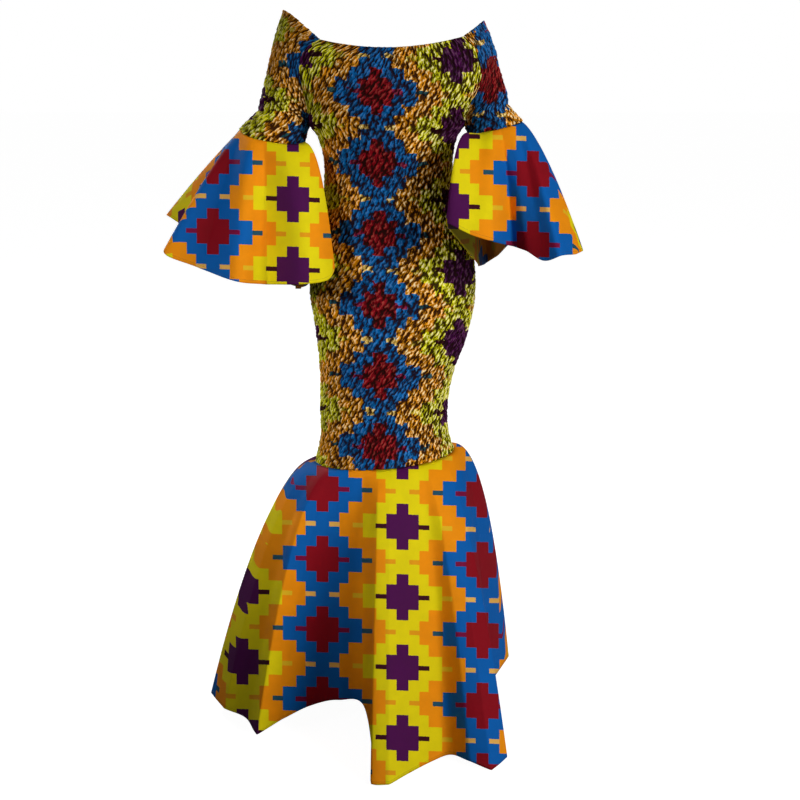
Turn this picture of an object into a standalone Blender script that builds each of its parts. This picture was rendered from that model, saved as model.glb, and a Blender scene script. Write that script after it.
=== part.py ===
"""Off-shoulder smocked gown with bell sleeves and a mermaid flounce.

Each piece that is cut and sewn is its own closed wall of cloth: the front and
back of the smocked body, two smocked upper sleeves, two circular sleeve
flounces, and the front and back of the circular skirt flounce.

Metres, +Z up, front towards -Y, the wearer's left towards +X. The origin is
the centre of the neckline, where the wearer's chest and shoulders hold it.
"""

import math
from collections import namedtuple

import bpy
import numpy as np

CLOTH = 0.0016            # thickness of the printed cotton
SEAM_GAP = 0.0003         # clear space between two pieces at a seam
MITRE_LIMIT = 1.3         # longest mitre at a sharp seam, in cloth thicknesses
STEEP_EDGE = 0.3          # least angle of a rim to its own seam, in radians

PUFF_HEIGHT = 0.0055      # a smocked puff stands this far out of the wall
PUFF_EVENNESS = 0.55      # lowest puff as a share of the highest
PUFF_FADE = 0.022         # puffs grow to full height within this distance of a seam
PUFF_MARGIN = 0.0044      # there are no puffs closer to a seam than this
PUFF_SEED = 11

BODY_COLUMNS = 24         # spans across one body panel
BODY_LOWER_ROWS = 33      # spans from the underarm down to the knee seam
SLEEVE_COLUMNS = 26       # spans round a smocked upper sleeve
CUFF_ROWS = 3             # spans from the underarm down to the cuff ring
SLEEVE_FLOUNCE_ROWS = 7
SKIRT_ROWS = 10

UNDERARM = -0.150         # heights are measured from the front of the neckline
KNEE_SEAM = -0.829
KNEE_SEAM_TILT = 0.086    # rise of the knee seam towards the wearer's left
NECK_DIP = -0.006         # the middle of the neckline, against its corners
NECK_RISE = 0.96          # how fast it rises to them, per metre
FLOOR = -1.385
BODY_CLEARANCE = 0.012    # a sleeve flounce stays this far off the body

FOLD_DELAY = 0.10         # how much later than a flounce swings out do its folds open
ROW_CROWDING = 1.15       # above 1, a flounce's rows lie closer together near its seam
EDGE_PULL = 4             # how closely the armhole's row heights keep to the sides

BodySection = namedtuple("BodySection", "z centre half_width front back")
BODY_SECTIONS = (
    BodySection(0.030, 0.002, 0.2120, 0.104, 0.100),
    BodySection(-0.030, 0.003, 0.2200, 0.113, 0.106),
    BodySection(-0.075, 0.004, 0.2130, 0.121, 0.110),
    BodySection(-0.105, 0.004, 0.1890, 0.123, 0.109),
    BodySection(-0.130, 0.003, 0.1660, 0.121, 0.107),
    BodySection(-0.150, 0.001, 0.1530, 0.118, 0.105),
    BodySection(-0.170, 0.002, 0.1385, 0.115, 0.103),
    BodySection(-0.200, 0.003, 0.1290, 0.111, 0.100),
    BodySection(-0.270, 0.004, 0.1265, 0.102, 0.096),
    BodySection(-0.340, 0.008, 0.1370, 0.102, 0.101),
    BodySection(-0.410, 0.013, 0.1590, 0.112, 0.118),
    BodySection(-0.478, 0.012, 0.1665, 0.121, 0.130),
    BodySection(-0.534, 0.013, 0.1600, 0.122, 0.126),
    BodySection(-0.593, 0.009, 0.1490, 0.119, 0.114),
    BodySection(-0.650, 0.001, 0.1365, 0.115, 0.107),
    BodySection(-0.720, -0.006, 0.1305, 0.112, 0.104),
    BodySection(-0.780, -0.006, 0.1305, 0.111, 0.103),
    BodySection(-0.840, -0.005, 0.1460, 0.118, 0.110),
)

# Half widths of the body panels at the armholes. The last row is the underarm,
# where a panel reaches the side of the body.
ArmholeRow = namedtuple("ArmholeRow", "z front_right front_left back")
ARMHOLE = (
    ArmholeRow(0.000, 0.1250, 0.1470, 0.150),
    ArmholeRow(-0.020, 0.1510, 0.1655, 0.160),
    ArmholeRow(-0.042, 0.1625, 0.1770, 0.167),
    ArmholeRow(-0.064, 0.1655, 0.1820, 0.169),
    ArmholeRow(-0.086, 0.1620, 0.1780, 0.166),
    ArmholeRow(-0.106, 0.1560, 0.1690, 0.160),
    ArmholeRow(-0.123, 0.1525, 0.1600, 0.1550),
    ArmholeRow(-0.137, 0.1525, 0.1550, 0.1530),
    ArmholeRow(-0.146, 0.1535, 0.1545, 0.1535),
)

# side is -1 for the wearer's right and +1 for the wearer's left. cuff is the
# middle of the ring where the flounce is sewn on, and tilt the slope of that ring.
Sleeve = namedtuple("Sleeve", "name side cuff_x cuff_y cuff_z radius_x radius_y tilt_x tilt_y")
SLEEVES = (
    Sleeve("right", -1, -0.2260, 0.000, -0.171, 0.0648, 0.060, -0.16, 0.20),
    Sleeve("left", 1, 0.2155, 0.000, -0.158, 0.053, 0.055, 0.23, 0.02),
)

# Sections of an upper sleeve. share is 0 at the open edge and 1 at the underarm;
# outer_x and outer_z are the outermost point there.
SleeveSection = namedtuple("SleeveSection", "share outer_x outer_z centre_x front back")
RIGHT_SLEEVE_SECTIONS = (
    SleeveSection(0.00, -0.1990, 0.065, -0.128, 0.0880, 0.0790),
    SleeveSection(0.33, -0.2195, 0.003, -0.157, 0.0810, 0.0750),
    SleeveSection(0.67, -0.2345, -0.062, -0.184, 0.0720, 0.0690),
    SleeveSection(1.00, -0.2530, -0.125, -0.205, 0.0630, 0.0620),
)
LEFT_SLEEVE_SECTIONS = (
    SleeveSection(0.00, 0.1890, 0.046, 0.128, 0.0850, 0.0790),
    SleeveSection(0.33, 0.2110, -0.006, 0.150, 0.0790, 0.0750),
    SleeveSection(0.67, 0.2245, -0.060, 0.172, 0.0700, 0.0690),
    SleeveSection(1.00, 0.2405, -0.112, 0.200, 0.0600, 0.0600),
)
SLEEVE_SECTIONS = (RIGHT_SLEEVE_SECTIONS, LEFT_SLEEVE_SECTIONS)

# One row for each crest and valley of a flounce. turn is the place on the seam
# that it hangs from, in degrees; x, y and z are its point on the hem. A lower
# flare swings out sooner below the seam.
Fold = namedtuple("Fold", "turn x y z flare")

# turn 0 faces the body, 90 the back, 180 outwards, 270 the front.
RIGHT_SLEEVE_FOLDS = (
    Fold(0, -0.162, -0.045, -0.468, 0.70),
    Fold(20, -0.187, 0.020, -0.483, 0.70),
    Fold(45, -0.183, 0.098, -0.493, 0.70),
    Fold(70, -0.215, 0.075, -0.478, 0.70),
    Fold(95, -0.265, 0.150, -0.455, 0.70),
    Fold(120, -0.318, 0.092, -0.425, 0.80),
    Fold(150, -0.466, 0.125, -0.341, 0.86),
    Fold(170, -0.405, 0.035, -0.365, 0.90),
    Fold(190, -0.445, -0.045, -0.399, 0.85),
    Fold(211, -0.368, -0.070, -0.430, 0.80),
    Fold(237, -0.285, -0.172, -0.441, 0.65),
    Fold(259, -0.232, -0.128, -0.453, 0.60),
    Fold(285, -0.160, -0.187, -0.444, 0.45),
    Fold(315, -0.107, -0.165, -0.436, 0.36),
    Fold(338, -0.104, -0.118, -0.416, 0.36),
)

# turn 0 faces the body, 90 the front, 180 outwards, 270 the back.
LEFT_SLEEVE_FOLDS = (
    Fold(0, 0.180, -0.050, -0.420, 0.30),
    Fold(20, 0.142, -0.130, -0.370, 0.24),
    Fold(40, 0.112, -0.222, -0.325, 0.24),
    Fold(60, 0.160, -0.240, -0.345, 0.50),
    Fold(80, 0.206, -0.225, -0.360, 0.55),
    Fold(97, 0.244, -0.130, -0.378, 0.60),
    Fold(112, 0.268, -0.158, -0.384, 0.64),
    Fold(128, 0.300, -0.200, -0.399, 0.70),
    Fold(146, 0.338, -0.196, -0.386, 0.72),
    Fold(164, 0.371, -0.110, -0.396, 0.72),
    Fold(182, 0.397, -0.010, -0.399, 0.72),
    Fold(202, 0.374, 0.066, -0.398, 0.74),
    Fold(225, 0.305, 0.052, -0.410, 0.70),
    Fold(250, 0.270, 0.132, -0.398, 0.65),
    Fold(277, 0.226, 0.072, -0.424, 0.60),
    Fold(306, 0.205, 0.100, -0.442, 0.60),
    Fold(335, 0.188, 0.032, -0.438, 0.60),
)
SLEEVE_FOLDS = (RIGHT_SLEEVE_FOLDS, LEFT_SLEEVE_FOLDS)

# turn 0 is the middle of the front, 90 the wearer's left, 180 the back. Here z
# is the height of the hem above the floor.
SKIRT_FOLDS = (
    Fold(-84, -0.383, -0.035, 0.030, 0.54),
    Fold(-72, -0.345, -0.105, 0.026, 0.55),
    Fold(-60, -0.296, -0.140, 0.022, 0.54),
    Fold(-48, -0.266, -0.200, 0.014, 0.50),
    Fold(-40, -0.218, -0.168, 0.032, 0.54),
    Fold(-31, -0.160, -0.152, 0.055, 0.60),
    Fold(-22, -0.100, -0.160, 0.072, 0.60),
    Fold(-14, -0.046, -0.190, 0.070, 0.60),
    Fold(-9, -0.030, -0.285, 0.034, 0.60),
    Fold(-4, -0.030, -0.378, 0.003, 0.60),
    Fold(4, 0.006, -0.380, 0.002, 0.60),
    Fold(12, 0.044, -0.340, 0.004, 0.60),
    Fold(19, 0.090, -0.298, 0.007, 0.58),
    Fold(26, 0.128, -0.280, 0.012, 0.57),
    Fold(33, 0.164, -0.318, 0.018, 0.56),
    Fold(43, 0.206, -0.326, 0.003, 0.57),
    Fold(54, 0.241, -0.282, 0.009, 0.58),
    Fold(67, 0.229, -0.160, 0.010, 0.52),
    Fold(80, 0.209, -0.055, 0.013, 0.45),
    Fold(92, 0.226, 0.030, 0.018, 0.44),
    Fold(103, 0.256, 0.105, 0.023, 0.39),
    Fold(113, 0.280, 0.172, 0.023, 0.38),
    Fold(126, 0.210, 0.165, 0.012, 0.42),
    Fold(140, 0.192, 0.262, 0.008, 0.50),
    Fold(154, 0.105, 0.205, 0.010, 0.52),
    Fold(171, 0.045, 0.305, 0.006, 0.52),
    Fold(188, -0.030, 0.222, 0.010, 0.52),
    Fold(205, -0.115, 0.312, 0.006, 0.52),
    Fold(221, -0.170, 0.208, 0.010, 0.52),
    Fold(236, -0.262, 0.252, 0.008, 0.52),
    Fold(249, -0.275, 0.135, 0.012, 0.52),
    Fold(262, -0.355, 0.070, 0.018, 0.50),
)

Finish = namedtuple("Finish", "colour roughness metallic")
FINISHES = {
    "smocked_cotton": Finish((0.45, 0.20, 0.02, 1.0), 0.80, 0.0),
    "printed_cotton": Finish((0.65, 0.38, 0.01, 1.0), 0.65, 0.0),
}


class Piece:
    """A piece of cloth as a grid of points, rows going down, columns counter-clockwise.

    From the row joined_from on, the last column is the first one again, so the
    cloth goes right round. refined marks a top row that has an added point in
    the middle of each span of its neighbour's edge.
    """

    def __init__(self, name, finish, grid, joined_from=None, smocked=False, refined=False):
        """Number the points of the grid and find the surface's triangles and edges."""
        self.name = name
        self.finish = finish
        self.smocked = smocked
        self.refined = refined
        self.grid = grid
        self.points = grid.reshape(-1, 3)
        self.numbers = np.arange(len(self.points)).reshape(grid.shape[:2])
        if joined_from is not None:
            self.numbers[joined_from:, -1] = self.numbers[joined_from:, 0]
        self.faces = surface_faces(self.numbers)
        self.edges = open_edges(self.faces)
        self.outward = outward_directions(self.points, self.faces)


def smooth_curve(knots, values, at, period=None):
    """Read a smooth curve through values at knots, in the given places."""
    knots = np.asarray(knots, float)
    values = np.asarray(values, float)
    at = np.asarray(at, float)
    if period:
        at = knots[0] + np.mod(at - knots[0], period)
        knots = np.concatenate([knots[-2:] - period, knots, knots[:2] + period])
        values = np.concatenate([values[-2:], values, values[:2]])
    slopes = np.gradient(values, knots, axis=0)
    span = np.clip(np.searchsorted(knots, at, side="right") - 1, 0, len(knots) - 2)
    width = (knots[span + 1] - knots[span])[:, None]
    share = (at - knots[span])[:, None] / width
    start = (1 + 2 * share) * (1 - share) ** 2 * values[span]
    end = share ** 2 * (3 - 2 * share) * values[span + 1]
    leaving = share * (1 - share) ** 2 * width * slopes[span]
    arriving = share ** 2 * (share - 1) * width * slopes[span + 1]
    return start + end + leaving + arriving


def body_section(z):
    """Centre, half width, front depth and back depth of the body at heights z."""
    table = np.array(BODY_SECTIONS)[::-1]
    return smooth_curve(table[:, 0], table[:, 1:], np.atleast_1d(z))


def surface_faces(numbers):
    """Triangles of a grid of point numbers, with diagonals that cross at every other point."""
    faces = []
    for row in range(numbers.shape[0] - 1):
        for column in range(numbers.shape[1] - 1):
            top, top_beside = numbers[row, column:column + 2]
            low, low_beside = numbers[row + 1, column:column + 2]
            if (row + column) % 2 == 0:
                faces += [(top, low, top_beside), (top_beside, low, low_beside)]
            else:
                faces += [(top, low, low_beside), (top, low_beside, top_beside)]
    return faces


def open_edges(faces):
    """Edges that belong to one triangle only, with that triangle's direction and number."""
    owners = {}
    for place, (first, second, third) in enumerate(faces):
        for edge in ((first, second), (second, third), (third, first)):
            owners[edge] = place
    return {edge: place for edge, place in owners.items() if edge[::-1] not in owners}


def face_directions(points, faces):
    """Direction of each triangle, as long as twice its area."""
    corners = points[np.array(faces)]
    return np.cross(corners[:, 1] - corners[:, 0], corners[:, 2] - corners[:, 0])


def outward_directions(points, faces):
    """Unit direction out of the garment at each point of a surface."""
    outward = np.zeros_like(points)
    directions = face_directions(points, faces)
    for corner in range(3):
        np.add.at(outward, np.array(faces)[:, corner], directions)
    size = np.linalg.norm(outward, axis=1, keepdims=True)
    return outward / np.maximum(size, 1e-12)


def body_rows():
    """Heights of the rows of a body panel, from the neckline to the knee seam."""
    upper = [row.z for row in ARMHOLE]
    lower = np.linspace(UNDERARM, KNEE_SEAM, BODY_LOWER_ROWS + 1)
    return np.concatenate([upper, lower])


def panel_limits(z, front):
    """Angles at which a body panel starts and ends, from the middle of its side."""
    centre, half_width = body_section(z)[0][:2]
    rows = {row.z: row for row in ARMHOLE}
    if z not in rows:
        return -math.pi / 2, math.pi / 2
    row = rows[z]
    if front:
        first = math.asin((-row.front_right - centre) / half_width)
        last = math.asin((row.front_left - centre) / half_width)
    else:
        first = -math.asin((row.back - centre) / half_width)
        last = math.asin((row.back + centre) / half_width)
    return first, last


def body_panel(name, front):
    """Front or back of the smocked body."""
    facing = 1 if front else -1
    across = np.linspace(-1, 1, BODY_COLUMNS + 1)
    armhole_rows = len(ARMHOLE)
    rows = []
    for row, side_z in enumerate(body_rows()):
        first, last = panel_limits(side_z, front)
        even_z = UNDERARM * min(1, row / armhole_rows)
        z = side_z + (even_z - side_z) * (1 - across ** EDGE_PULL) * (row < armhole_rows)
        angle = np.linspace(first, last, BODY_COLUMNS + 1)
        centre, half_width, front_depth, back_depth = body_section(z).T
        depth = front_depth if front else back_depth
        x = centre + facing * half_width * np.sin(angle)
        y = -facing * depth * np.cos(angle)
        neck_share = np.maximum(0, 1 - z / UNDERARM)
        knee_share = np.maximum(0, (UNDERARM - z) / (UNDERARM - KNEE_SEAM)) ** 2
        rise = neck_share * (NECK_DIP + NECK_RISE * x ** 2)
        rows.append(np.stack([x, y, z + rise + knee_share * KNEE_SEAM_TILT * x], axis=1))
    return Piece(name, "smocked_cotton", np.array(rows), smocked=True)


def around_share(columns):
    """Places of a sleeve's columns from 0 to 1, from the body side round and back to it."""
    return np.linspace(0, 1, columns + 1)


def cuff_ring(sleeve, share):
    """Ring on the arm where the flounce is sewn to the upper sleeve."""
    turn = 2 * math.pi * share
    x = -sleeve.side * sleeve.radius_x * np.cos(turn)
    y = -sleeve.side * sleeve.radius_y * np.sin(turn)
    z = sleeve.cuff_z + sleeve.tilt_x * x + sleeve.tilt_y * y
    return np.stack([sleeve.cuff_x + x, sleeve.cuff_y + y, z], axis=1)


def sleeve_row(sleeve, section, start, end, whole):
    """One row of an upper sleeve, round the outside of the arm between two points.

    Args:
        sleeve: The sleeve.
        section: Outer x, outer z, centre x, front and back depth of the arm here.
        start: First point, on the armhole seam.
        end: Last point, on the armhole seam.
        whole: Whether start and end are one point, so that the row is a ring.
    """
    outer_x, outer_z, centre, front, back = section
    reach = abs(outer_x - centre)
    share = around_share(SLEEVE_COLUMNS)
    first_turn, last_turn = 0.0, 2 * math.pi
    if not whole:
        turns = []
        for point in (start, end):
            depth = front if point[1] < 0 else back
            turns.append(math.atan2(-sleeve.side * point[1] / depth,
                                    -sleeve.side * (point[0] - centre) / reach))
        first_turn, last_turn = turns[0], turns[1] % (2 * math.pi)
    turn = first_turn + (last_turn - first_turn) * share
    x = centre - sleeve.side * reach * np.cos(turn)
    along = -sleeve.side * np.sin(turn)
    y = along * np.where(along < 0, front, back)
    plan = np.stack([x, y], axis=1)
    plan += np.outer((1 - share) ** 3, start[:2] - plan[0])
    plan += np.outer(share ** 3, end[:2] - plan[-1])
    base = start[2] + (end[2] - start[2]) * share
    z = base + (outer_z - base) * np.sin(math.pi * share)
    return np.column_stack([plan, z])


def upper_sleeve(sleeve, sections, front, back):
    """Smocked upper sleeve, from the armhole and open edge down to the cuff ring."""
    armhole_rows = len(ARMHOLE)
    table = np.array(sections, float)
    rows = []
    for row in range(armhole_rows + 1):
        front_point = front.grid[row, 0 if sleeve.side < 0 else -1]
        back_point = back.grid[row, -1 if sleeve.side < 0 else 0]
        start, end = (back_point, front_point) if sleeve.side < 0 else (front_point, back_point)
        section = smooth_curve(table[:, 0], table[:, 1:], [row / armhole_rows])[0]
        rows.append(sleeve_row(sleeve, section, start, end, row == armhole_rows))
    ring = rows[-1]
    ring[-1] = ring[0]
    cuff = cuff_ring(sleeve, around_share(SLEEVE_COLUMNS))
    cuff[-1] = cuff[0]
    for share in np.linspace(0, 1, CUFF_ROWS + 1)[1:]:
        rows.append(ring + (cuff - ring) * share)
    return Piece(f"sleeve_upper_{sleeve.name}", "smocked_cotton", np.array(rows),
                 joined_from=armhole_rows, smocked=True)


def add_midpoints(values):
    """Values with one more in the middle of each span."""
    middles = (values[:-1] + values[1:]) / 2
    doubled = np.repeat(values, 2, axis=0)[:-1]
    doubled[1::2] = middles
    return doubled


def even_ring(points, turns, harmonics=2):
    """The ring's large form without its folds, from its lowest harmonics."""
    around = np.linspace(0, 2 * math.pi, 361)[:-1]
    dense = smooth_curve(np.radians(turns), points, around, 2 * math.pi)
    spectrum = np.fft.rfft(dense, axis=0)
    spectrum[harmonics + 1:] = 0
    return np.fft.irfft(spectrum, len(around), axis=0), around


def flounce_grid(seam, turns, folds, rows, floor=0.0):
    """A circular flounce that swings out from its seam and opens into folds."""
    table = np.array(folds, float)
    hem_points = table[:, 1:4] + (0, 0, floor)
    hem = smooth_curve(table[:, 0], hem_points, turns, 360)
    flare = smooth_curve(table[:, 0], table[:, 4:], turns, 360)
    large, around = even_ring(hem_points, table[:, 0])
    base = smooth_curve(around, large, np.radians(turns), 2 * math.pi)
    grid = []
    for share in np.linspace(0, 1, rows + 1) ** ROW_CROWDING:
        swing = np.hstack([share ** flare, share ** flare, share + 0 * flare])
        opened = share ** (flare + FOLD_DELAY)
        ring = seam + (base - seam) * swing + (hem - base) * opened
        grid.append(ring)
    return np.array(grid)


def keep_off_body(grid):
    """Move points that come too near the body straight out from its axis."""
    moved = grid.copy()
    for point in moved[1:].reshape(-1, 3):
        centre, half_width, front_depth, back_depth = body_section(point[2])[0]
        depth = front_depth if point[1] < 0 else back_depth
        across = (point[0] - centre) / (half_width + BODY_CLEARANCE)
        along = point[1] / (depth + BODY_CLEARANCE)
        reach = math.hypot(across, along)
        if reach < 1:
            point[0] = centre + (point[0] - centre) / reach
            point[1] = point[1] / reach
    return moved


def sleeve_flounce(sleeve, upper, folds):
    """Circular flounce of one sleeve."""
    seam = add_midpoints(upper.grid[-1])
    turns = 360 * around_share(len(seam) - 1)
    grid = keep_off_body(flounce_grid(seam, turns, folds, SLEEVE_FLOUNCE_ROWS))
    return Piece(f"sleeve_flounce_{sleeve.name}", "printed_cotton", grid,
                 joined_from=0, refined=True)


def skirt_flounce(name, body, front):
    """Front or back half of the skirt's circular flounce."""
    seam = add_midpoints(body.grid[-1])
    first = -90 if front else 90
    turns = np.linspace(first, first + 180, len(seam))
    grid = flounce_grid(seam, turns, SKIRT_FOLDS, SKIRT_ROWS, FLOOR)
    return Piece(name, "printed_cotton", grid, refined=True)


def seam_key(point):
    """A point as a key that is the same for all pieces that meet there."""
    return tuple(np.round(point, 7))


def shared_directions(pieces):
    """Thickness direction at each edge point, the same for all pieces that meet there."""
    meeting = {}
    for piece in pieces:
        for number in {number for edge in piece.edges for number in edge}:
            key = seam_key(piece.points[number])
            meeting.setdefault(key, []).append(piece.outward[number])
    shared = {}
    for key, directions in meeting.items():
        mean = np.mean(directions, axis=0)
        mean /= np.linalg.norm(mean)
        closeness = np.mean([direction @ mean for direction in directions])
        shared[key] = mean * min(MITRE_LIMIT, 1 / closeness)
    return shared


def wall_surfaces(piece, shared):
    """Outer and inner points of a piece's wall, with half a seam gap at its edges."""
    thickness = piece.outward.copy()
    square_to_edge = {}
    directions = face_directions(piece.points, piece.faces)
    for (first, second), face in piece.edges.items():
        along = piece.points[second] - piece.points[first]
        along = along / np.linalg.norm(along)
        for number in (first, second):
            thickness[number] = shared[seam_key(piece.points[number])]
            into = np.cross(thickness[number], along)
            if np.linalg.norm(into) < STEEP_EDGE:
                into = np.cross(directions[face], along)
            into = into / np.linalg.norm(into)
            square_to_edge.setdefault(number, []).append(into)
    outer = piece.points.copy()
    for number, (first, second) in square_to_edge.items():
        closeness = max(0.0, 1 + first @ second)
        outer[number] += (first + second) / max(0.5, closeness) * SEAM_GAP / 2
    inner = outer - CLOTH * thickness
    if piece.refined:
        seam = piece.numbers[0]
        for surface in (outer, inner):
            surface[seam[1::2]] = (surface[seam[:-1:2]] + surface[seam[2::2]]) / 2
    return outer, inner


def puff_heights(piece):
    """Height of the smocking at each point: staggered rows of puffs, none at the edges."""
    rows, columns = piece.numbers.shape
    chance = np.random.default_rng(PUFF_SEED)
    row, column = np.indices((rows, columns))
    raised = PUFF_HEIGHT * chance.uniform(PUFF_EVENNESS, 1, (rows, columns))
    raised[(row % 2 == 1) | ((column + row // 2) % 2 == 1)] = 0
    heights = np.zeros(len(piece.points))
    heights[piece.numbers] = raised
    edge_points = piece.points[[edge[0] for edge in piece.edges]]
    apart = piece.points[:, None, :] - edge_points[None, :, :]
    to_edge = np.linalg.norm(apart, axis=2).min(axis=1)
    return heights * np.clip((to_edge - PUFF_MARGIN) / PUFF_FADE, 0, 1)


def strip_faces(first, second, first_places, second_places):
    """Triangles between two rows of points, stepping along whichever lags behind."""
    faces = []
    here, there = 0, 0
    while here < len(first) - 1 or there < len(second) - 1:
        step_second = there < len(second) - 1
        if here < len(first) - 1 and step_second:
            step_second = second_places[there + 1] < first_places[here + 1]
        if step_second:
            faces.append((first[here], second[there + 1], second[there]))
            there += 1
        else:
            faces.append((first[here], first[here + 1], second[there]))
            here += 1
    return faces


def turned(faces):
    """The same triangles facing the other way."""
    return [face[::-1] for face in faces]


def plain_inside_faces(numbers):
    """Inner wall of a body panel: full detail at the edge, every other point inside."""
    coarse = numbers[2:-2:2, 2:-2:2]
    rows, columns = (np.arange(count) for count in numbers.shape)
    coarse_rows, coarse_columns = rows[2:-2:2], columns[2:-2:2]
    faces = surface_faces(coarse)
    faces += turned(strip_faces(numbers[0], coarse[0], columns, coarse_columns))
    faces += strip_faces(numbers[-1], coarse[-1], columns, coarse_columns)
    faces += strip_faces(numbers[:, 0], coarse[:, 0], rows, coarse_rows)
    faces += turned(strip_faces(numbers[:, -1], coarse[:, -1], rows, coarse_rows))
    return faces


def rim_faces(edges, count):
    """Triangles that join the outer wall's edges to the inner wall's."""
    faces = []
    for first, second in edges:
        faces += [(second, first, first + count), (second, first + count, second + count)]
    return faces


def build_piece(piece, shared, material):
    """Make the closed wall of one piece as an object."""
    outer, inner = wall_surfaces(piece, shared)
    inside = piece.faces
    if piece.smocked:
        outer = outer + puff_heights(piece)[:, None] * piece.outward
        if len(piece.grid) > BODY_LOWER_ROWS:
            inside = plain_inside_faces(piece.numbers)
    count = len(piece.points)
    faces = list(piece.faces)
    faces += [tuple(np.array(face) + count) for face in turned(inside)]
    faces += rim_faces(piece.edges, count)
    points = np.concatenate([outer, inner])
    used = sorted({int(number) for face in faces for number in face})
    renumbered = {number: place for place, number in enumerate(used)}
    mesh = bpy.data.meshes.new(piece.name)
    mesh.from_pydata([tuple(points[number]) for number in used], [],
                     [tuple(renumbered[int(number)] for number in face) for face in faces])
    mesh.materials.append(material)
    mesh.shade_smooth()
    result = bpy.data.objects.new(piece.name, mesh)
    bpy.context.scene.collection.objects.link(result)
    return result


def make_material(name, finish):
    """A plain material with the given finish."""
    material = bpy.data.materials.new(name)
    material.use_nodes = True
    shader = material.node_tree.nodes["Principled BSDF"]
    shader.inputs["Base Color"].default_value = finish.colour
    shader.inputs["Roughness"].default_value = finish.roughness
    shader.inputs["Metallic"].default_value = finish.metallic
    return material


def make_gown():
    """Cut every piece, then build its wall with seams shared between neighbours."""
    front = body_panel("body_front", front=True)
    back = body_panel("body_back", front=False)
    pieces = [front, back]
    for sleeve, sections, folds in zip(SLEEVES, SLEEVE_SECTIONS, SLEEVE_FOLDS):
        upper = upper_sleeve(sleeve, sections, front, back)
        pieces += [upper, sleeve_flounce(sleeve, upper, folds)]
    pieces.append(skirt_flounce("skirt_flounce_front", front, front=True))
    pieces.append(skirt_flounce("skirt_flounce_back", back, front=False))
    shared = shared_directions(pieces)
    materials = {name: make_material(name, finish) for name, finish in FINISHES.items()}
    for piece in pieces:
        build_piece(piece, shared, materials[piece.finish])


def main():
    """Clear the scene and build the gown."""
    for old in list(bpy.data.objects):
        bpy.data.objects.remove(old)
    make_gown()


main()
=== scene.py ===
"""Looks of the off-shoulder smocked gown in wax print.

Each cut piece of the gown is a thin shell of cloth on the form of its solid: the
smocked body and upper sleeves with every gathered puff raised, and the circular
flounces with their folds, hems and stitches. The print keeps one even size across the
front, as seen from the camera's place, and follows the cloth at the back.
"""

import functools
import logging
import math
from collections.abc import Sequence
from dataclasses import dataclass, field
from enum import Enum
from functools import partial
from typing import NamedTuple

import bpy
import numpy as np
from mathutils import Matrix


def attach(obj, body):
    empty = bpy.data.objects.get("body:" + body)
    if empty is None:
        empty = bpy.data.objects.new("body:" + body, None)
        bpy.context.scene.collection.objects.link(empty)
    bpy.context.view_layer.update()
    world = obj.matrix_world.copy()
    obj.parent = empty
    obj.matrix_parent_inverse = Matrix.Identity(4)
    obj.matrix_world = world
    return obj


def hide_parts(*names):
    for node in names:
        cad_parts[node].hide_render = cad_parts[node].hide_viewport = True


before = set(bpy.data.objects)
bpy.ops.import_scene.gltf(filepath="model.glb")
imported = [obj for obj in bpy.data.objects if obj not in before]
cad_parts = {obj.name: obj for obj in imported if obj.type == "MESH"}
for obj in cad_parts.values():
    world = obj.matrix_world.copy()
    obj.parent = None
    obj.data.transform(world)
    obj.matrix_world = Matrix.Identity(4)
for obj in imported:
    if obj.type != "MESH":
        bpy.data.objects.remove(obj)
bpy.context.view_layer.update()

log = logging.getLogger("gown")

# Heights, from the neckline at the sides.
FLOOR = -1.385
UNDERARM = -0.150
KNEE_SEAM = -0.829
# Thickness of the cloth, and its depth under the elastic.
CLOTH = 0.0016
SINK = 0.0006
# Stated width of a smocked piece's cloth for each metre of its smocking.
FULLNESS = 1.25
# The camera's tilt is in degrees down.
CAMERA_PLACE = (0.027, -2.7, -0.085)
CAMERA_PITCH = 13.1
VECTOR, FLOAT, COLOR = "NodeSocketVector", "NodeSocketFloat", "NodeSocketColor"

Grid = np.ndarray
Materials = Sequence[bpy.types.Material]
Socket = bpy.types.NodeSocket


class Side(Enum):
    """Side of the wearer, as the sign of x."""

    RIGHT = -1
    LEFT = 1


class Ink(Enum):
    """Inks of the print, as sRGB values."""

    ORANGE = (238, 142, 2)
    BLUE = (0, 92, 172)
    RED = (136, 4, 22)
    YELLOW = (226, 208, 4)
    PURPLE = (74, 8, 72)
    TEAL = (32, 78, 98)
    GARNET = (122, 8, 58)
    MAROON = (56, 4, 22)
    STRAW = (232, 176, 84)
    AMBER = (226, 152, 16)
    LEMON = (226, 180, 30)


class BodySection(NamedTuple):
    """One level section of the smocked body."""

    z: float
    centre: float
    half_width: float
    front: float
    back: float


class ArmholeRow(NamedTuple):
    """Half widths of the body panels at one height of the armholes."""

    z: float
    front_right: float
    front_left: float
    back: float


class SleeveSection(NamedTuple):
    """One ring of an upper sleeve; share is 0 at its open edge and 1 at the underarm."""

    share: float
    outer_x: float
    outer_z: float
    centre_x: float
    front: float
    back: float


class Fold(NamedTuple):
    """A crest or valley of a flounce: its turn on the seam and its point on the hem."""

    turn: float
    x: float
    y: float
    z: float
    flare: float


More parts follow.
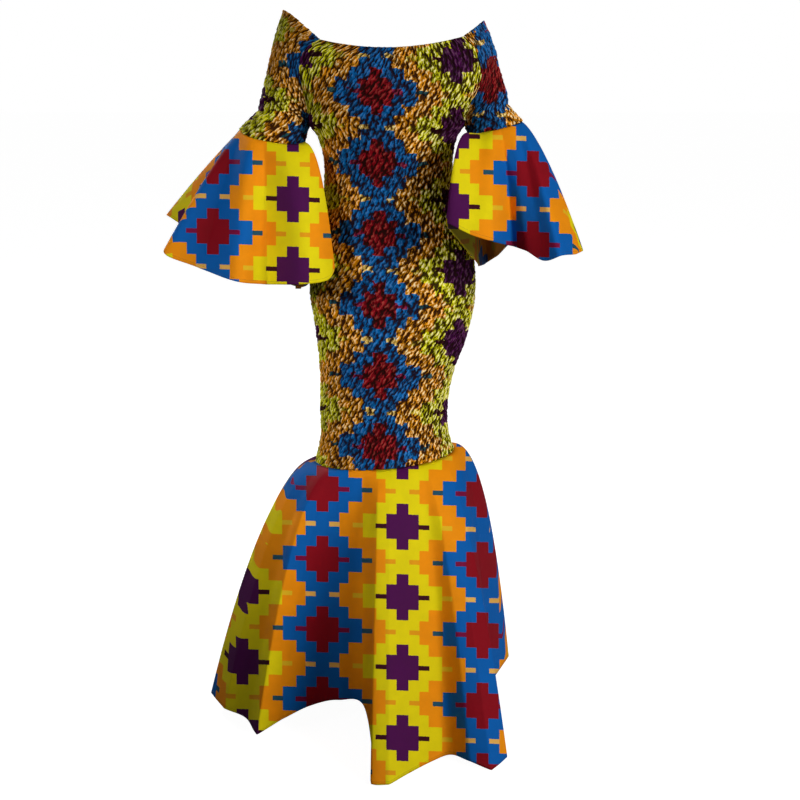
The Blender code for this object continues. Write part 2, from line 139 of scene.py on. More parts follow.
BODY_SECTIONS = tuple(BodySection(*row) for row in (
    (0.030, 0.002, 0.2120, 0.104, 0.100),
    (-0.030, 0.003, 0.2200, 0.113, 0.106),
    (-0.075, 0.004, 0.2130, 0.121, 0.110),
    (-0.105, 0.004, 0.1890, 0.123, 0.109),
    (-0.130, 0.003, 0.1660, 0.121, 0.107),
    (-0.150, 0.001, 0.1530, 0.118, 0.105),
    (-0.170, 0.002, 0.1385, 0.115, 0.103),
    (-0.200, 0.003, 0.1290, 0.111, 0.100),
    (-0.270, 0.004, 0.1265, 0.102, 0.096),
    (-0.340, 0.008, 0.1370, 0.102, 0.101),
    (-0.410, 0.013, 0.1590, 0.112, 0.118),
    (-0.478, 0.012, 0.1665, 0.121, 0.130),
    (-0.534, 0.013, 0.1600, 0.122, 0.126),
    (-0.593, 0.009, 0.1490, 0.119, 0.114),
    (-0.650, 0.001, 0.1365, 0.115, 0.107),
    (-0.720, -0.006, 0.1305, 0.112, 0.104),
    (-0.780, -0.006, 0.1305, 0.111, 0.103),
    (-0.840, -0.005, 0.1460, 0.118, 0.110),
))
ARMHOLE = tuple(ArmholeRow(*row) for row in (
    (0.000, 0.1250, 0.1470, 0.150),
    (-0.020, 0.1510, 0.1655, 0.160),
    (-0.042, 0.1625, 0.1770, 0.167),
    (-0.064, 0.1655, 0.1820, 0.169),
    (-0.086, 0.1620, 0.1780, 0.166),
    (-0.106, 0.1560, 0.1690, 0.160),
    (-0.123, 0.1525, 0.1600, 0.1550),
    (-0.137, 0.1525, 0.1550, 0.1530),
    (-0.146, 0.1535, 0.1545, 0.1535),
))
RIGHT_SLEEVE_SECTIONS = tuple(SleeveSection(*row) for row in (
    (0.00, -0.1990, 0.065, -0.128, 0.0880, 0.0790),
    (0.33, -0.2195, 0.003, -0.157, 0.0810, 0.0750),
    (0.67, -0.2345, -0.062, -0.184, 0.0720, 0.0690),
    (1.00, -0.2530, -0.125, -0.205, 0.0630, 0.0620),
))
LEFT_SLEEVE_SECTIONS = tuple(SleeveSection(*row) for row in (
    (0.00, 0.1890, 0.046, 0.128, 0.0850, 0.0790),
    (0.33, 0.2110, -0.006, 0.150, 0.0790, 0.0750),
    (0.67, 0.2245, -0.060, 0.172, 0.0700, 0.0690),
    (1.00, 0.2405, -0.112, 0.200, 0.0600, 0.0600),
))

# Turn 0 faces the body, 90 the back, 180 outwards, 270 the front.
RIGHT_SLEEVE_FOLDS = tuple(Fold(*row) for row in (
    (0, -0.162, -0.045, -0.468, 0.70),
    (20, -0.187, 0.020, -0.483, 0.70),
    (45, -0.183, 0.098, -0.493, 0.70),
    (70, -0.215, 0.075, -0.478, 0.70),
    (95, -0.265, 0.150, -0.455, 0.70),
    (120, -0.318, 0.092, -0.425, 0.80),
    (150, -0.466, 0.125, -0.341, 0.86),
    (170, -0.405, 0.035, -0.365, 0.90),
    (190, -0.445, -0.045, -0.399, 0.85),
    (211, -0.368, -0.070, -0.430, 0.80),
    (237, -0.285, -0.172, -0.441, 0.65),
    (259, -0.232, -0.128, -0.453, 0.60),
    (285, -0.160, -0.187, -0.444, 0.45),
    (315, -0.107, -0.165, -0.436, 0.36),
    (338, -0.104, -0.118, -0.416, 0.36),
))

# Turn 0 faces the body, 90 the front, 180 outwards, 270 the back.
LEFT_SLEEVE_FOLDS = tuple(Fold(*row) for row in (
    (0, 0.180, -0.050, -0.420, 0.30),
    (20, 0.142, -0.130, -0.370, 0.24),
    (40, 0.112, -0.222, -0.325, 0.24),
    (60, 0.160, -0.240, -0.345, 0.50),
    (80, 0.206, -0.225, -0.360, 0.55),
    (97, 0.244, -0.130, -0.378, 0.60),
    (112, 0.268, -0.158, -0.384, 0.64),
    (128, 0.298, -0.188, -0.399, 0.70),
    (146, 0.330, -0.213, -0.386, 0.72),
    (164, 0.371, -0.110, -0.396, 0.72),
    (182, 0.397, -0.010, -0.399, 0.72),
    (202, 0.374, 0.066, -0.398, 0.74),
    (225, 0.305, 0.052, -0.410, 0.70),
    (250, 0.270, 0.132, -0.398, 0.65),
    (277, 0.226, 0.072, -0.424, 0.60),
    (306, 0.205, 0.100, -0.442, 0.60),
    (335, 0.188, 0.032, -0.438, 0.60),
))

# Turn 0 is the middle of the front, 90 the wearer's left, 180 the back. Here z is the
# height of the hem above the floor.
SKIRT_FOLDS = tuple(Fold(*row) for row in (
    (-84, -0.383, -0.035, 0.030, 0.54),
    (-72, -0.345, -0.105, 0.026, 0.55),
    (-60, -0.296, -0.140, 0.022, 0.54),
    (-48, -0.266, -0.200, 0.014, 0.50),
    (-40, -0.218, -0.168, 0.032, 0.54),
    (-31, -0.160, -0.152, 0.055, 0.60),
    (-22, -0.100, -0.160, 0.072, 0.60),
    (-14, -0.046, -0.190, 0.070, 0.60),
    (-9, -0.030, -0.285, 0.034, 0.60),
    (-4, -0.030, -0.378, 0.003, 0.60),
    (4, 0.006, -0.380, 0.002, 0.60),
    (12, 0.044, -0.340, 0.004, 0.60),
    (19, 0.090, -0.298, 0.007, 0.58),
    (26, 0.128, -0.280, 0.012, 0.57),
    (33, 0.164, -0.318, 0.018, 0.56),
    (43, 0.206, -0.326, 0.003, 0.57),
    (54, 0.241, -0.282, 0.009, 0.58),
    (67, 0.229, -0.160, 0.010, 0.52),
    (80, 0.209, -0.055, 0.013, 0.45),
    (92, 0.226, 0.030, 0.018, 0.44),
    (103, 0.256, 0.105, 0.023, 0.39),
    (113, 0.280, 0.172, 0.023, 0.38),
    (126, 0.210, 0.165, 0.012, 0.42),
    (140, 0.192, 0.262, 0.008, 0.50),
    (154, 0.105, 0.205, 0.010, 0.52),
    (171, 0.045, 0.305, 0.006, 0.52),
    (188, -0.030, 0.222, 0.010, 0.52),
    (205, -0.115, 0.312, 0.006, 0.52),
    (221, -0.170, 0.208, 0.010, 0.52),
    (236, -0.262, 0.252, 0.008, 0.52),
    (249, -0.275, 0.135, 0.012, 0.52),
    (262, -0.355, 0.070, 0.018, 0.50),
))


def smooth_curve(knots: Sequence[float], values: Grid, at: Grid,
                 period: float | None = None,
                 sharpness: Sequence[float] | None = None) -> Grid:
    """Read a smooth curve through values at knots.

    Args:
        knots: Places of the values, rising.
        values: One value, row or grid for each knot.
        at: Places to read.
        period: Length after which the curve repeats, if it does.
        sharpness: For each knot, 0 where the curve turns softly and 1 at a corner.

    Returns:
        The values at the places.
    """
    knots = np.asarray(knots, float)
    values = np.asarray(values, float)
    at = np.asarray(at, float)
    sharp = np.zeros(len(knots)) if sharpness is None else np.asarray(sharpness, float)
    if period:
        at = knots[0] + np.mod(at - knots[0], period)
        knots = np.concatenate([knots[-2:] - period, knots, knots[:2] + period])
        values = np.concatenate([values[-2:], values, values[:2]])
        sharp = np.concatenate([sharp[-2:], sharp, sharp[:2]])
    slopes = np.gradient(values, knots, axis=0)
    span = np.clip(np.searchsorted(knots, at, side="right") - 1, 0, len(knots) - 2)
    wide = (-1,) + (1,) * (values.ndim - 1)
    width = (knots[span + 1] - knots[span]).reshape(wide)
    share = (at - knots[span]).reshape(wide) / width
    steep = 1.35 * (values[span + 1] - values[span]) / width
    first, last = sharp[span].reshape(wide), sharp[span + 1].reshape(wide)
    leaving = (1 - first) * slopes[span] + first * steep
    arriving = (1 - last) * slopes[span + 1] + last * steep
    return ((1 + 2 * share) * (1 - share) ** 2 * values[span]
            + share ** 2 * (3 - 2 * share) * values[span + 1]
            + share * (1 - share) ** 2 * width * leaving
            + share ** 2 * (share - 1) * width * arriving)


def spacing(points: Grid, axis: int = 0) -> Grid:
    """Distances between neighbouring points along an axis."""
    return np.linalg.norm(np.diff(points, axis=axis), axis=-1)


def path_lengths(points: Grid) -> Grid:
    """Distance of each point of a row from the first one, along the row."""
    return np.concatenate([[0], np.cumsum(spacing(points))])


def fine_places(spans: int, parts: int) -> Grid:
    """Places of a finer row of points, in spans of the coarse one."""
    return np.linspace(0, spans, spans * parts + 1)


def refined(grid: Grid, row_parts: int, column_parts: int) -> Grid:
    """A finer grid of points on the same smooth surface.

    Args:
        grid: Rows of points.
        row_parts: Parts that each span between rows is cut into.
        column_parts: The same for the spans within a row.

    Returns:
        The finer grid.
    """
    rows, columns = grid.shape[:2]
    down = smooth_curve(np.arange(rows), grid, fine_places(rows - 1, row_parts))
    turned = np.swapaxes(down, 0, 1)
    across = smooth_curve(np.arange(columns), turned, fine_places(columns - 1, column_parts))
    return np.swapaxes(across, 0, 1)


def ramp(values: Grid, start: float, end: float) -> Grid:
    """A soft step from 0 at start to 1 at end."""
    share = np.clip((values - start) / (end - start), 0, 1)
    return share * share * (3 - 2 * share)


def body_section(z: Grid) -> Grid:
    """Centre, half width, front depth and back depth of the body at heights z."""
    table = np.array(BODY_SECTIONS)[::-1]
    return smooth_curve(table[:, 0], table[:, 1:], np.atleast_1d(z))


def grid_normals(grid: Grid, closed: bool) -> Grid:
    """Unit directions out of the cloth at each point of a grid.

    Args:
        grid: Rows going down, columns counter-clockwise seen from above.
        closed: Whether the last column is the first one again.

    Returns:
        A grid of directions.
    """
    down = np.gradient(grid, axis=0)
    across = np.gradient(grid, axis=1)
    if closed:
        wrap = (grid[:, 1] - grid[:, -2]) / 2
        across[:, 0] = wrap
        across[:, -1] = wrap
    normal = np.cross(down, across)
    return normal / np.maximum(np.linalg.norm(normal, axis=2, keepdims=True), 1e-12)


@dataclass(frozen=True)
class PrintLayout:
    """How the print lies on a piece: even to the eye in front, along the cloth elsewhere.

    Attributes:
        across: Place of one red cross across the front.
        up: Its height.
        eye: Fixed point that the front is laid out from in perspective.
        pitch: Downward tilt of that layout, in degrees.
        distance: Distance from the point at which the print has its own size.
    """

    across: float
    up: float
    eye: tuple[float, float, float] = CAMERA_PLACE
    pitch: float = CAMERA_PITCH
    distance: float = 2.84

    def flat(self, points: Grid) -> tuple[Grid, Grid]:
        """Places on the print of points on the front of the gown."""
        x, y, z = np.moveaxis(points - self.eye, -1, 0)
        tilt = math.radians(self.pitch)
        ahead = y * math.cos(tilt) - z * math.sin(tilt)
        above = y * math.sin(tilt) + z * math.cos(tilt)
        scale = self.distance / ahead
        return x * scale - self.across, above * scale - self.up

    def on_cloth(self, grid: Grid, middle: int, free: Grid) -> Grid:
        """Print places of a grid of points.

        Args:
            grid: The points.
            middle: Column that keeps its place on the flat print.
            free: For each column, 0 where the print lies flat across the front and
                1 where it follows the cloth.

        Returns:
            A grid of two print places in metres.
        """
        across, up = self.flat(grid)
        level = grid.copy()
        level[..., 1] *= 1 - free
        up = self.flat(level)[1]
        share = (free[1:] + free[:-1]) / 2
        moved = np.diff(across, axis=1) * (1 - share) + spacing(grid, 1) * share
        path = np.concatenate([np.zeros((len(grid), 1)), np.cumsum(moved, axis=1)], axis=1)
        return np.stack([path - path[:, middle:middle + 1] + across[:, middle:middle + 1], up],
                        axis=2)

    def unrolled(self, grid: Grid, middle: int, free: Grid) -> Grid:
        """Print places of a flounce cut from flat cloth as part of a ring.

        Args:
            grid: The points, from the seam to the hem.
            middle: Column that keeps its place on the flat print.
            free: For each column, 0 where the print lies flat across the front and
                1 where it follows the ring.

        Returns:
            A grid of two print places in metres.
        """
        flat = np.stack(self.flat(grid), axis=2)
        down = np.zeros(grid.shape[:2])
        down[1:] = np.cumsum(spacing(grid), axis=0)
        seam, hem = spacing(grid[0]), spacing(grid[-1])
        opening = (hem - seam) / (down[-1, 1:] + down[-1, :-1]) * 2
        places = flat.copy()
        for sign in (1, -1):
            path = np.arange(middle, len(free) if sign > 0 else -1, sign)
            path = path[max(0, int(np.argmax(free[path] > 0)) - 1):]
            spans = np.minimum(path[:-1], path[1:])
            start, end = flat[0, path[0]], flat[-1, path[0]]
            lean = math.atan2(end[0] - start[0], start[1] - end[1])
            turn = lean + sign * np.concatenate([[0], np.cumsum(opening[spans])])
            between = (turn[1:] + turn[:-1]) / 2
            ways = np.stack([np.cos(between), np.sin(between)], axis=1)
            move = sign * seam[spans, None] * ways
            edge = start + np.concatenate([np.zeros((1, 2)), np.cumsum(move, axis=0)])
            fall = np.stack([np.sin(turn), -np.cos(turn)], axis=1)
            ring = edge + down[:, path, None] * fall
            share = free[path][:, None]
            places[:, path] = flat[:, path] * (1 - share) + ring * share
        return places


class Gathers(NamedTuple):
    """What the gathers do at each point of a cloth.

    Attributes:
        height: How far the cloth stands out.
        puff: 1 on the top of a puff, 0 at its edge and less between puffs.
        side: From -1 at a puff's left edge to 1 at its right edge.
        tone: From 0 to 1, another for each puff.
        slip: How far the print is moved, across and up.
    """

    height: Grid
    puff: Grid
    side: Grid
    tone: Grid
    slip: Grid

    def marks(self) -> dict[str, Grid]:
        """What the material needs at each point, by name."""
        return {"puff": self.puff, "side": self.side, "tone": self.tone}


@dataclass(frozen=True)
class Puffs:
    """Gathers between the rows of elastic thread: slanted bands of small puffs.

    Attributes:
        width: Distance between two bands across the cloth.
        height: Distance between two puffs of a band down the cloth.
        reach: Half width and half height of a puff, in those distances.
        step: How far each band's puffs lie below those of the band before it.
        rise: How far a full puff stands out.
        slant: Sideways lean of the bands for each metre down.
        unevenness: How far a puff may lie from its even place, in its own sizes.
        slip: How far a puff may carry the print off its place.
        sway: Soft waves of the bands: how far, and turns for each metre down and across.
        crumple: How far small creases move a puff's outline.
        power: Roundness of a puff's outline: 1 for a rhomb and 2 for an oval.
        sizes: Smallest size of a puff, and by how much others may be larger.
        cells: Puffs across and down after which the chances repeat.
        seed: Chooses the pattern.
    """

    width: float = 0.0090
    height: float = 0.0160
    reach: tuple[float, float] = (0.54, 0.64)
    step: float = 0.46
    rise: float = 0.0050
    slant: float = 0.44
    unevenness: float = 0.24
    slip: float = 0.0044
    sway: tuple[tuple[float, int, int], ...] = ((0.0026, 31, 17), (0.0014, 74, -45))
    crumple: float = 0.0009
    power: float = 1.5
    sizes: tuple[float, float] = (0.8, 0.4)
    cells: tuple[int, int] = (211, 97)
    seed: int = 5

    def shape(self, across: Grid, down: Grid) -> Gathers:
        """Shape of the gathered cloth.

        Args:
            across: Places across the cloth in metres.
            down: Places down the cloth in metres.

        Returns:
            What the gathers do there.
        """
        chance = np.random.default_rng(self.seed)
        table = chance.uniform(size=(*self.cells, 6))
        sway = sum(far * np.sin(down * fall + across * aside) for far, fall, aside in self.sway)
        creases = self.crumple * (np.sin(down * 420 + 3 * np.sin(across * 260))
                                  + np.sin(down * 610 - across * 330))
        a = (across + self.slant * down + sway + creases) / self.width
        cell_a = np.floor(a)
        puff = np.full(a.shape, -9.0)
        side = np.zeros(a.shape)
        odds = np.zeros((*a.shape, 6))
        for step_a in (-1, 0, 1):
            here_a = cell_a + step_a
            b = down / self.height - self.step * here_a
            for step_b in (-1, 0, 1):
                here_b = np.floor(b) + step_b
                odd = table[here_a.astype(int) % self.cells[0],
                            here_b.astype(int) % self.cells[1]]
                shift = self.unevenness * (2 * odd[..., :2] - 1)
                size = self.sizes[0] + self.sizes[1] * odd[..., 2:4]
                to_a = (a - here_a - 0.5 - shift[..., 0]) / (self.reach[0] * size[..., 0])
                to_b = (b - here_b - 0.5 - shift[..., 1]) / (self.reach[1] * size[..., 1])
                far = np.abs(to_a) ** self.power + np.abs(to_b) ** self.power
                here = 1 - far ** (1 / self.power)
                nearer = here > puff
                puff = np.where(nearer, here, puff)
                side = np.where(nearer, to_a, side)
                odds = np.where(nearer[..., None], odd, odds)
        dome = 1 - (1 - np.clip(puff, 0, 1)) ** 2
        height = self.rise * (0.6 + 0.4 * odds[..., 2]) * dome
        return Gathers(height, puff, np.clip(side, -1, 1), odds[..., 3],
                       self.slip * (2 * odds[..., 4:] - 1))


class Graph:
    """Adds nodes to a node tree and joins them."""

    def __init__(self, tree: bpy.types.NodeTree) -> None:
        """Keep the tree."""
        self.tree = tree

    def node(self, kind: str, inputs: dict | None = None, **settings) -> bpy.types.Node:
        """Add a shader node.

        Args:
            kind: Its type name, without what all of them start with.
            inputs: Values or sockets for its inputs, by name or number.
            **settings: Its own settings.

        Returns:
            The node.
        """
        made = self.tree.nodes.new(f"ShaderNode{kind}")
        for name, value in settings.items():
            setattr(made, name, value)
        for name, value in (inputs or {}).items():
            if isinstance(value, Socket):
                self.join(value, made.inputs[name])
            else:
                made.inputs[name].default_value = value
        return made

    def join(self, value: Socket, target: Socket) -> None:
        """Join a value to an input."""
        self.tree.links.new(value, target)

    def group(self, tree: bpy.types.NodeTree, inputs: dict) -> bpy.types.NodeOutputs:
        """Add a shared group and give its outputs."""
        return self.node("Group", inputs, node_tree=tree).outputs

    def uv(self, name: str) -> Socket:
        """Places of one of the piece's UV maps."""
        return self.node("UVMap", uv_map=name).outputs[0]

    def math(self, operation: str, *values) -> Socket:
        """Result of a math operation on numbers or sockets."""
        return self.node("Math", dict(enumerate(values)), operation=operation).outputs[0]

    def vector(self, operation: str, inputs: dict) -> Socket:
        """Result of an operation on vectors or colours, with its inputs by number."""
        return self.node("VectorMath", inputs, operation=operation).outputs[0]

    def split(self, vector: Socket) -> list[Socket]:
        """The first two parts of a vector."""
        return self.node("SeparateXYZ", {0: vector}).outputs[:2]

    def noise(self, place: Socket, scale: float, detail: float,
              roughness: float = 0.5) -> bpy.types.NodeOutputs:
        """Soft noise at places: a number, and a colour under its name."""
        return self.node("TexNoise", {"Vector": place, "Scale": scale, "Detail": detail,
                                      "Roughness": roughness}).outputs

    def rescale(self, value: Socket, start: float, end: float,
                low: float = 0.0, high: float = 1.0) -> Socket:
        """The value's way from start to end, as a number from low to high."""
        return self.node("MapRange", {0: value, 1: start, 2: end, 3: low, 4: high}).outputs[0]

    def mix(self, share, first, second, blend: str = "MIX") -> Socket:
        """Mix of two colours."""
        return self.node("Mix", {0: share, 6: first, 7: second}, data_type="RGBA",
                         blend_type=blend, clamp_factor=True).outputs[2]


class Group(Graph):
    """A shader node group that is being made, with its given inputs by name."""

    def __init__(self, name: str, inputs: dict[str, str | float],
                 outputs: dict[str, str]) -> None:
        """Start the group.

        Args:
            name: Its name.
            inputs: Usual value of each number, or the kind of another input.
            outputs: Kind of each output.
        """
        super().__init__(bpy.data.node_groups.new(name, "ShaderNodeTree"))
        for title, value in inputs.items():
            kind = value if isinstance(value, str) else FLOAT
            socket = self.tree.interface.new_socket(title, in_out="INPUT", socket_type=kind)
            if kind == FLOAT:
                socket.default_value = value
        for title, kind in outputs.items():
            self.tree.interface.new_socket(title, in_out="OUTPUT", socket_type=kind)
        start = self.tree.nodes.new("NodeGroupInput")
        self.given = {socket.name: socket for socket in start.outputs}

    def finish(self, **results: Socket) -> bpy.types.NodeTree:
        """Join the results to the outputs and give the group."""
        end = self.tree.nodes.new("NodeGroupOutput")
        for title, value in results.items():
            self.join(value, end.inputs[title])
        return self.tree


def ink(colour: Ink) -> tuple[float, float, float, float]:
    """An ink as linear red, green, blue and alpha."""
    shares = [value / 255 for value in colour.value]
    linear = [s / 12.92 if s <= 0.04045 else ((s + 0.055) / 1.055) ** 2.4 for s in shares]
    return (*linear, 1.0)


@dataclass(frozen=True)
class SteppedDiamonds:
    """The print: columns of stepped diamonds with crosses, half a repeat apart.

    Attributes:
        repeat: Distance between two columns of one kind.
        drop: Distance between two diamonds of a column.
        lean: How much the rows of the print drop for each metre across.
        steps: Half widths of a diamond's three steps, from its middle out.
        levels: Heights at which the first and second step end.
        block: Half width and half height of a cross's middle.
        arm: Half width and half height of its upright.
        bar: Half height of the thin bars.
        core_bar: Half length of the bar through a cross.
        outer_bar: Half length of the bar through a diamond.
        neck_bar: Where the bars at the necks start, from the middle.
        wander: How far the inks run over their outlines.
        grain: Scale of those runs.
    """

    repeat: float = 0.3414
    drop: float = 0.1502
    lean: float = 0.038
    steps: tuple[float, float, float] = (0.0845, 0.0557, 0.0361)
    levels: tuple[float, float] = (0.0255, 0.0500)
    block: tuple[float, float] = (0.0346, 0.0266)
    arm: tuple[float, float] = (0.0127, 0.0491)
    bar: float = 0.0050
    core_bar: float = 0.0575
    outer_bar: float = 0.1062
    neck_bar: float = 0.0145
    wander: float = 0.0018
    grain: float = 420.0

    def inside(self, graph: Graph, across: Socket, up: Socket,
               *boxes: tuple[float, float]) -> Socket:
        """1 where a place lies in one of some boxes of a half width and half height."""
        masks = [graph.math("MULTIPLY", graph.math("LESS_THAN", across, width),
                            graph.math("LESS_THAN", up, height)) for width, height in boxes]
        return functools.reduce(partial(graph.math, "MAXIMUM"), masks)

    def diamond(self, graph: Graph, across: Socket, up: Socket, ground: Socket | tuple,
                inks: Sequence[Ink]) -> Socket:
        """Paint one column of diamonds over a ground.

        Args:
            graph: Graph to add to.
            across: Distance from the column's middle.
            up: Distance from the nearest cross's middle.
            ground: Colour of what lies under it.
            inks: Diamond, cross, outer bar, cross bar and neck bar.

        Returns:
            The painted colour.
        """
        diamond_ink, cross_ink, outer_ink, core_ink, neck_ink = (ink(each) for each in inks)
        inside = partial(self.inside, graph, across, up)
        at_neck = graph.math("GREATER_THAN", up, self.drop / 2 - self.bar)
        neck_bar = graph.math("MULTIPLY", at_neck,
                              graph.math("GREATER_THAN", across, self.neck_bar))
        colour = graph.mix(inside((self.outer_bar, self.bar)), ground, outer_ink)
        filled = graph.mix(neck_bar, diamond_ink, neck_ink)
        filled = graph.mix(inside((self.core_bar, self.bar)), filled, core_ink)
        filled = graph.mix(inside(self.block, self.arm), filled, cross_ink)
        return graph.mix(inside(*zip(self.steps, (*self.levels, self.drop))), colour, filled)

    def group(self) -> bpy.types.NodeTree:
        """The print as a node group, from places on the print to its colour."""
        graph = Group("stepped_diamonds", {"Place": VECTOR}, {"Color": COLOR})
        place = graph.given["Place"]
        shift = graph.vector("SUBTRACT", {0: graph.noise(place, self.grain, 2.0)["Color"],
                                          1: (0.5, 0.5, 0.5)})
        shift = graph.vector("SCALE", {0: shift, 3: self.wander})
        across, up = graph.split(graph.vector("ADD", {0: place, 1: shift}))
        up = graph.math("MULTIPLY_ADD", across, self.lean, up)
        blue_across = graph.math("PINGPONG", across, self.repeat / 2)
        blue_up = graph.math("PINGPONG", up, self.drop / 2)
        yellow_across = graph.math("SUBTRACT", self.repeat / 2, blue_across)
        yellow_up = graph.math("SUBTRACT", self.drop / 2, blue_up)
        colour = self.diamond(graph, blue_across, blue_up, ink(Ink.ORANGE),
                              (Ink.BLUE, Ink.RED, Ink.TEAL, Ink.GARNET, Ink.STRAW))
        colour = self.diamond(graph, yellow_across, yellow_up, colour,
                              (Ink.YELLOW, Ink.PURPLE, Ink.LEMON, Ink.MAROON, Ink.AMBER))
        return graph.finish(Color=colour)


def weave_group() -> bpy.types.NodeTree:
    """Plain weave of the cotton: its threads' height and slight unevenness of tone."""
    graph = Group("plain_weave", {"Place": VECTOR, "Pitch": 0.00045},
                  {"Height": FLOAT, "Tone": FLOAT})
    place = graph.given["Place"]
    waves = []
    for part in graph.split(place):
        turn = graph.math("DIVIDE", graph.math("MULTIPLY", part, math.pi), graph.given["Pitch"])
        waves.append(graph.math("ABSOLUTE", graph.math("SINE", turn)))
    cloud_share, slub_share = 0.6, 0.4
    cloud = graph.math("MULTIPLY", graph.noise(place, 26.0, 5.0, 0.6)[0], cloud_share)
    slub = graph.math("MULTIPLY", graph.noise(place, 700.0, 2.0)[0], slub_share)
    return graph.finish(Height=graph.math("MULTIPLY", *waves),
                        Tone=graph.math("ADD", cloud, slub))


def pleat_group() -> bpy.types.NodeTree:
    """Fine slanted pleats on the puffs, finer across them than along."""
    across_scale, down_scale = 310.0, 95.0
    graph = Group("fine_pleats", {"Place": VECTOR, "Slant": 0.52}, {"Height": FLOAT})
    across, down = graph.split(graph.given["Place"])
    across = graph.math("MULTIPLY_ADD", down, graph.given["Slant"], across)
    place = graph.node("CombineXYZ", {0: graph.math("MULTIPLY", across, across_scale),
                                      1: graph.math("MULTIPLY", down, down_scale)}).outputs[0]
    return graph.finish(Height=graph.noise(place, 1.0, 3.0, 0.55)[0])


def puff_painted_light_group() -> bpy.types.NodeTree:
    """Colour of the puffs: a tone for each puff, painted light on their tops, painted shade on
    their right sides and in the gaps, and a painted cream highlight, strongest on light inks.
    """
    # Tint of the painted light, colour of the painted highlight, and painted shade colour between
    # the puffs.
    lit_tint, cream, shadow = (1.0, 1.15, 0.95, 1), (0.96, 0.86, 0.50, 1), (0.012, 0.002, 0.001)
    crumpled, turned_out, darkest, lightest = 2.2, 0.20, 0.55, 1.20
    low_light, more_on_top, shade_side, ink_in_gap = 0.42, 0.80, 0.42, 0.03
    least_cream, more_on_light_ink = 0.05, 0.76
    graph = Group("puff_painted_light", {"Ink": COLOR, "Puff": 1.0, "Side": 0.0, "Tone": 0.5,
                                 "Crumple": 0.5, "Deep": 1.0}, {"Color": COLOR})
    ink_given, side = graph.given["Ink"], graph.given["Side"]
    puff = graph.math("MULTIPLY_ADD", graph.given["Crumple"], crumpled,
                      graph.math("SUBTRACT", graph.given["Puff"], crumpled / 2))
    puff = graph.math("MULTIPLY_ADD", side, turned_out, puff)
    tone = graph.rescale(graph.given["Tone"], 0.0, 1.0, darkest, lightest)
    # Painted light on the top of each puff and painted shade on its right side.
    top = graph.math("MULTIPLY_ADD", graph.rescale(puff, 0.15, 0.60), more_on_top, low_light)
    turned = graph.math("MULTIPLY", graph.rescale(side, -0.4, 0.9, 1.0, shade_side), tone)
    lit = graph.vector("SCALE", {0: graph.mix(1.0, ink_given, lit_tint, "MULTIPLY"),
                                 3: graph.math("MULTIPLY", top, turned)})
    # Painted cream highlight on the left of each top, strongest where the ink is light.
    glint = graph.math("MULTIPLY", graph.rescale(puff, 0.48, 0.62),
                       graph.rescale(side, 0.30, -0.1))
    light_ink = graph.rescale(graph.split(ink_given)[0], 0.25, 0.75)
    share = graph.math("MULTIPLY", glint,
                       graph.math("MULTIPLY_ADD", light_ink, more_on_light_ink, least_cream))
    # Painted shade in the gaps between the puffs.
    dark = graph.vector("MULTIPLY_ADD", {0: ink_given, 1: (ink_in_gap,) * 3, 2: shadow})
    gap_shade_mask = graph.math("MULTIPLY", graph.rescale(puff, 0.22, 0.08), graph.given["Deep"])
    return graph.finish(Color=graph.mix(gap_shade_mask, graph.mix(share, lit, cream), dark))


def stitch_group() -> bpy.types.NodeTree:
    """A row of machine stitches at a set distance from an edge."""
    half_thread, stitched = 0.00035, 0.72
    graph = Group("edge_stitches", {"Along": 0.0, "From Edge": 1.0, "Row": 0.006,
                                    "Length": 0.0030}, {"Mask": FLOAT})
    given = graph.given
    off_row = graph.math("ABSOLUTE", graph.math("SUBTRACT", given["From Edge"], given["Row"]))
    beat = graph.math("FRACT", graph.math("DIVIDE", given["Along"], given["Length"]))
    return graph.finish(Mask=graph.math("MULTIPLY", graph.math("LESS_THAN", off_row, half_thread),
                                        graph.math("LESS_THAN", beat, stitched)))


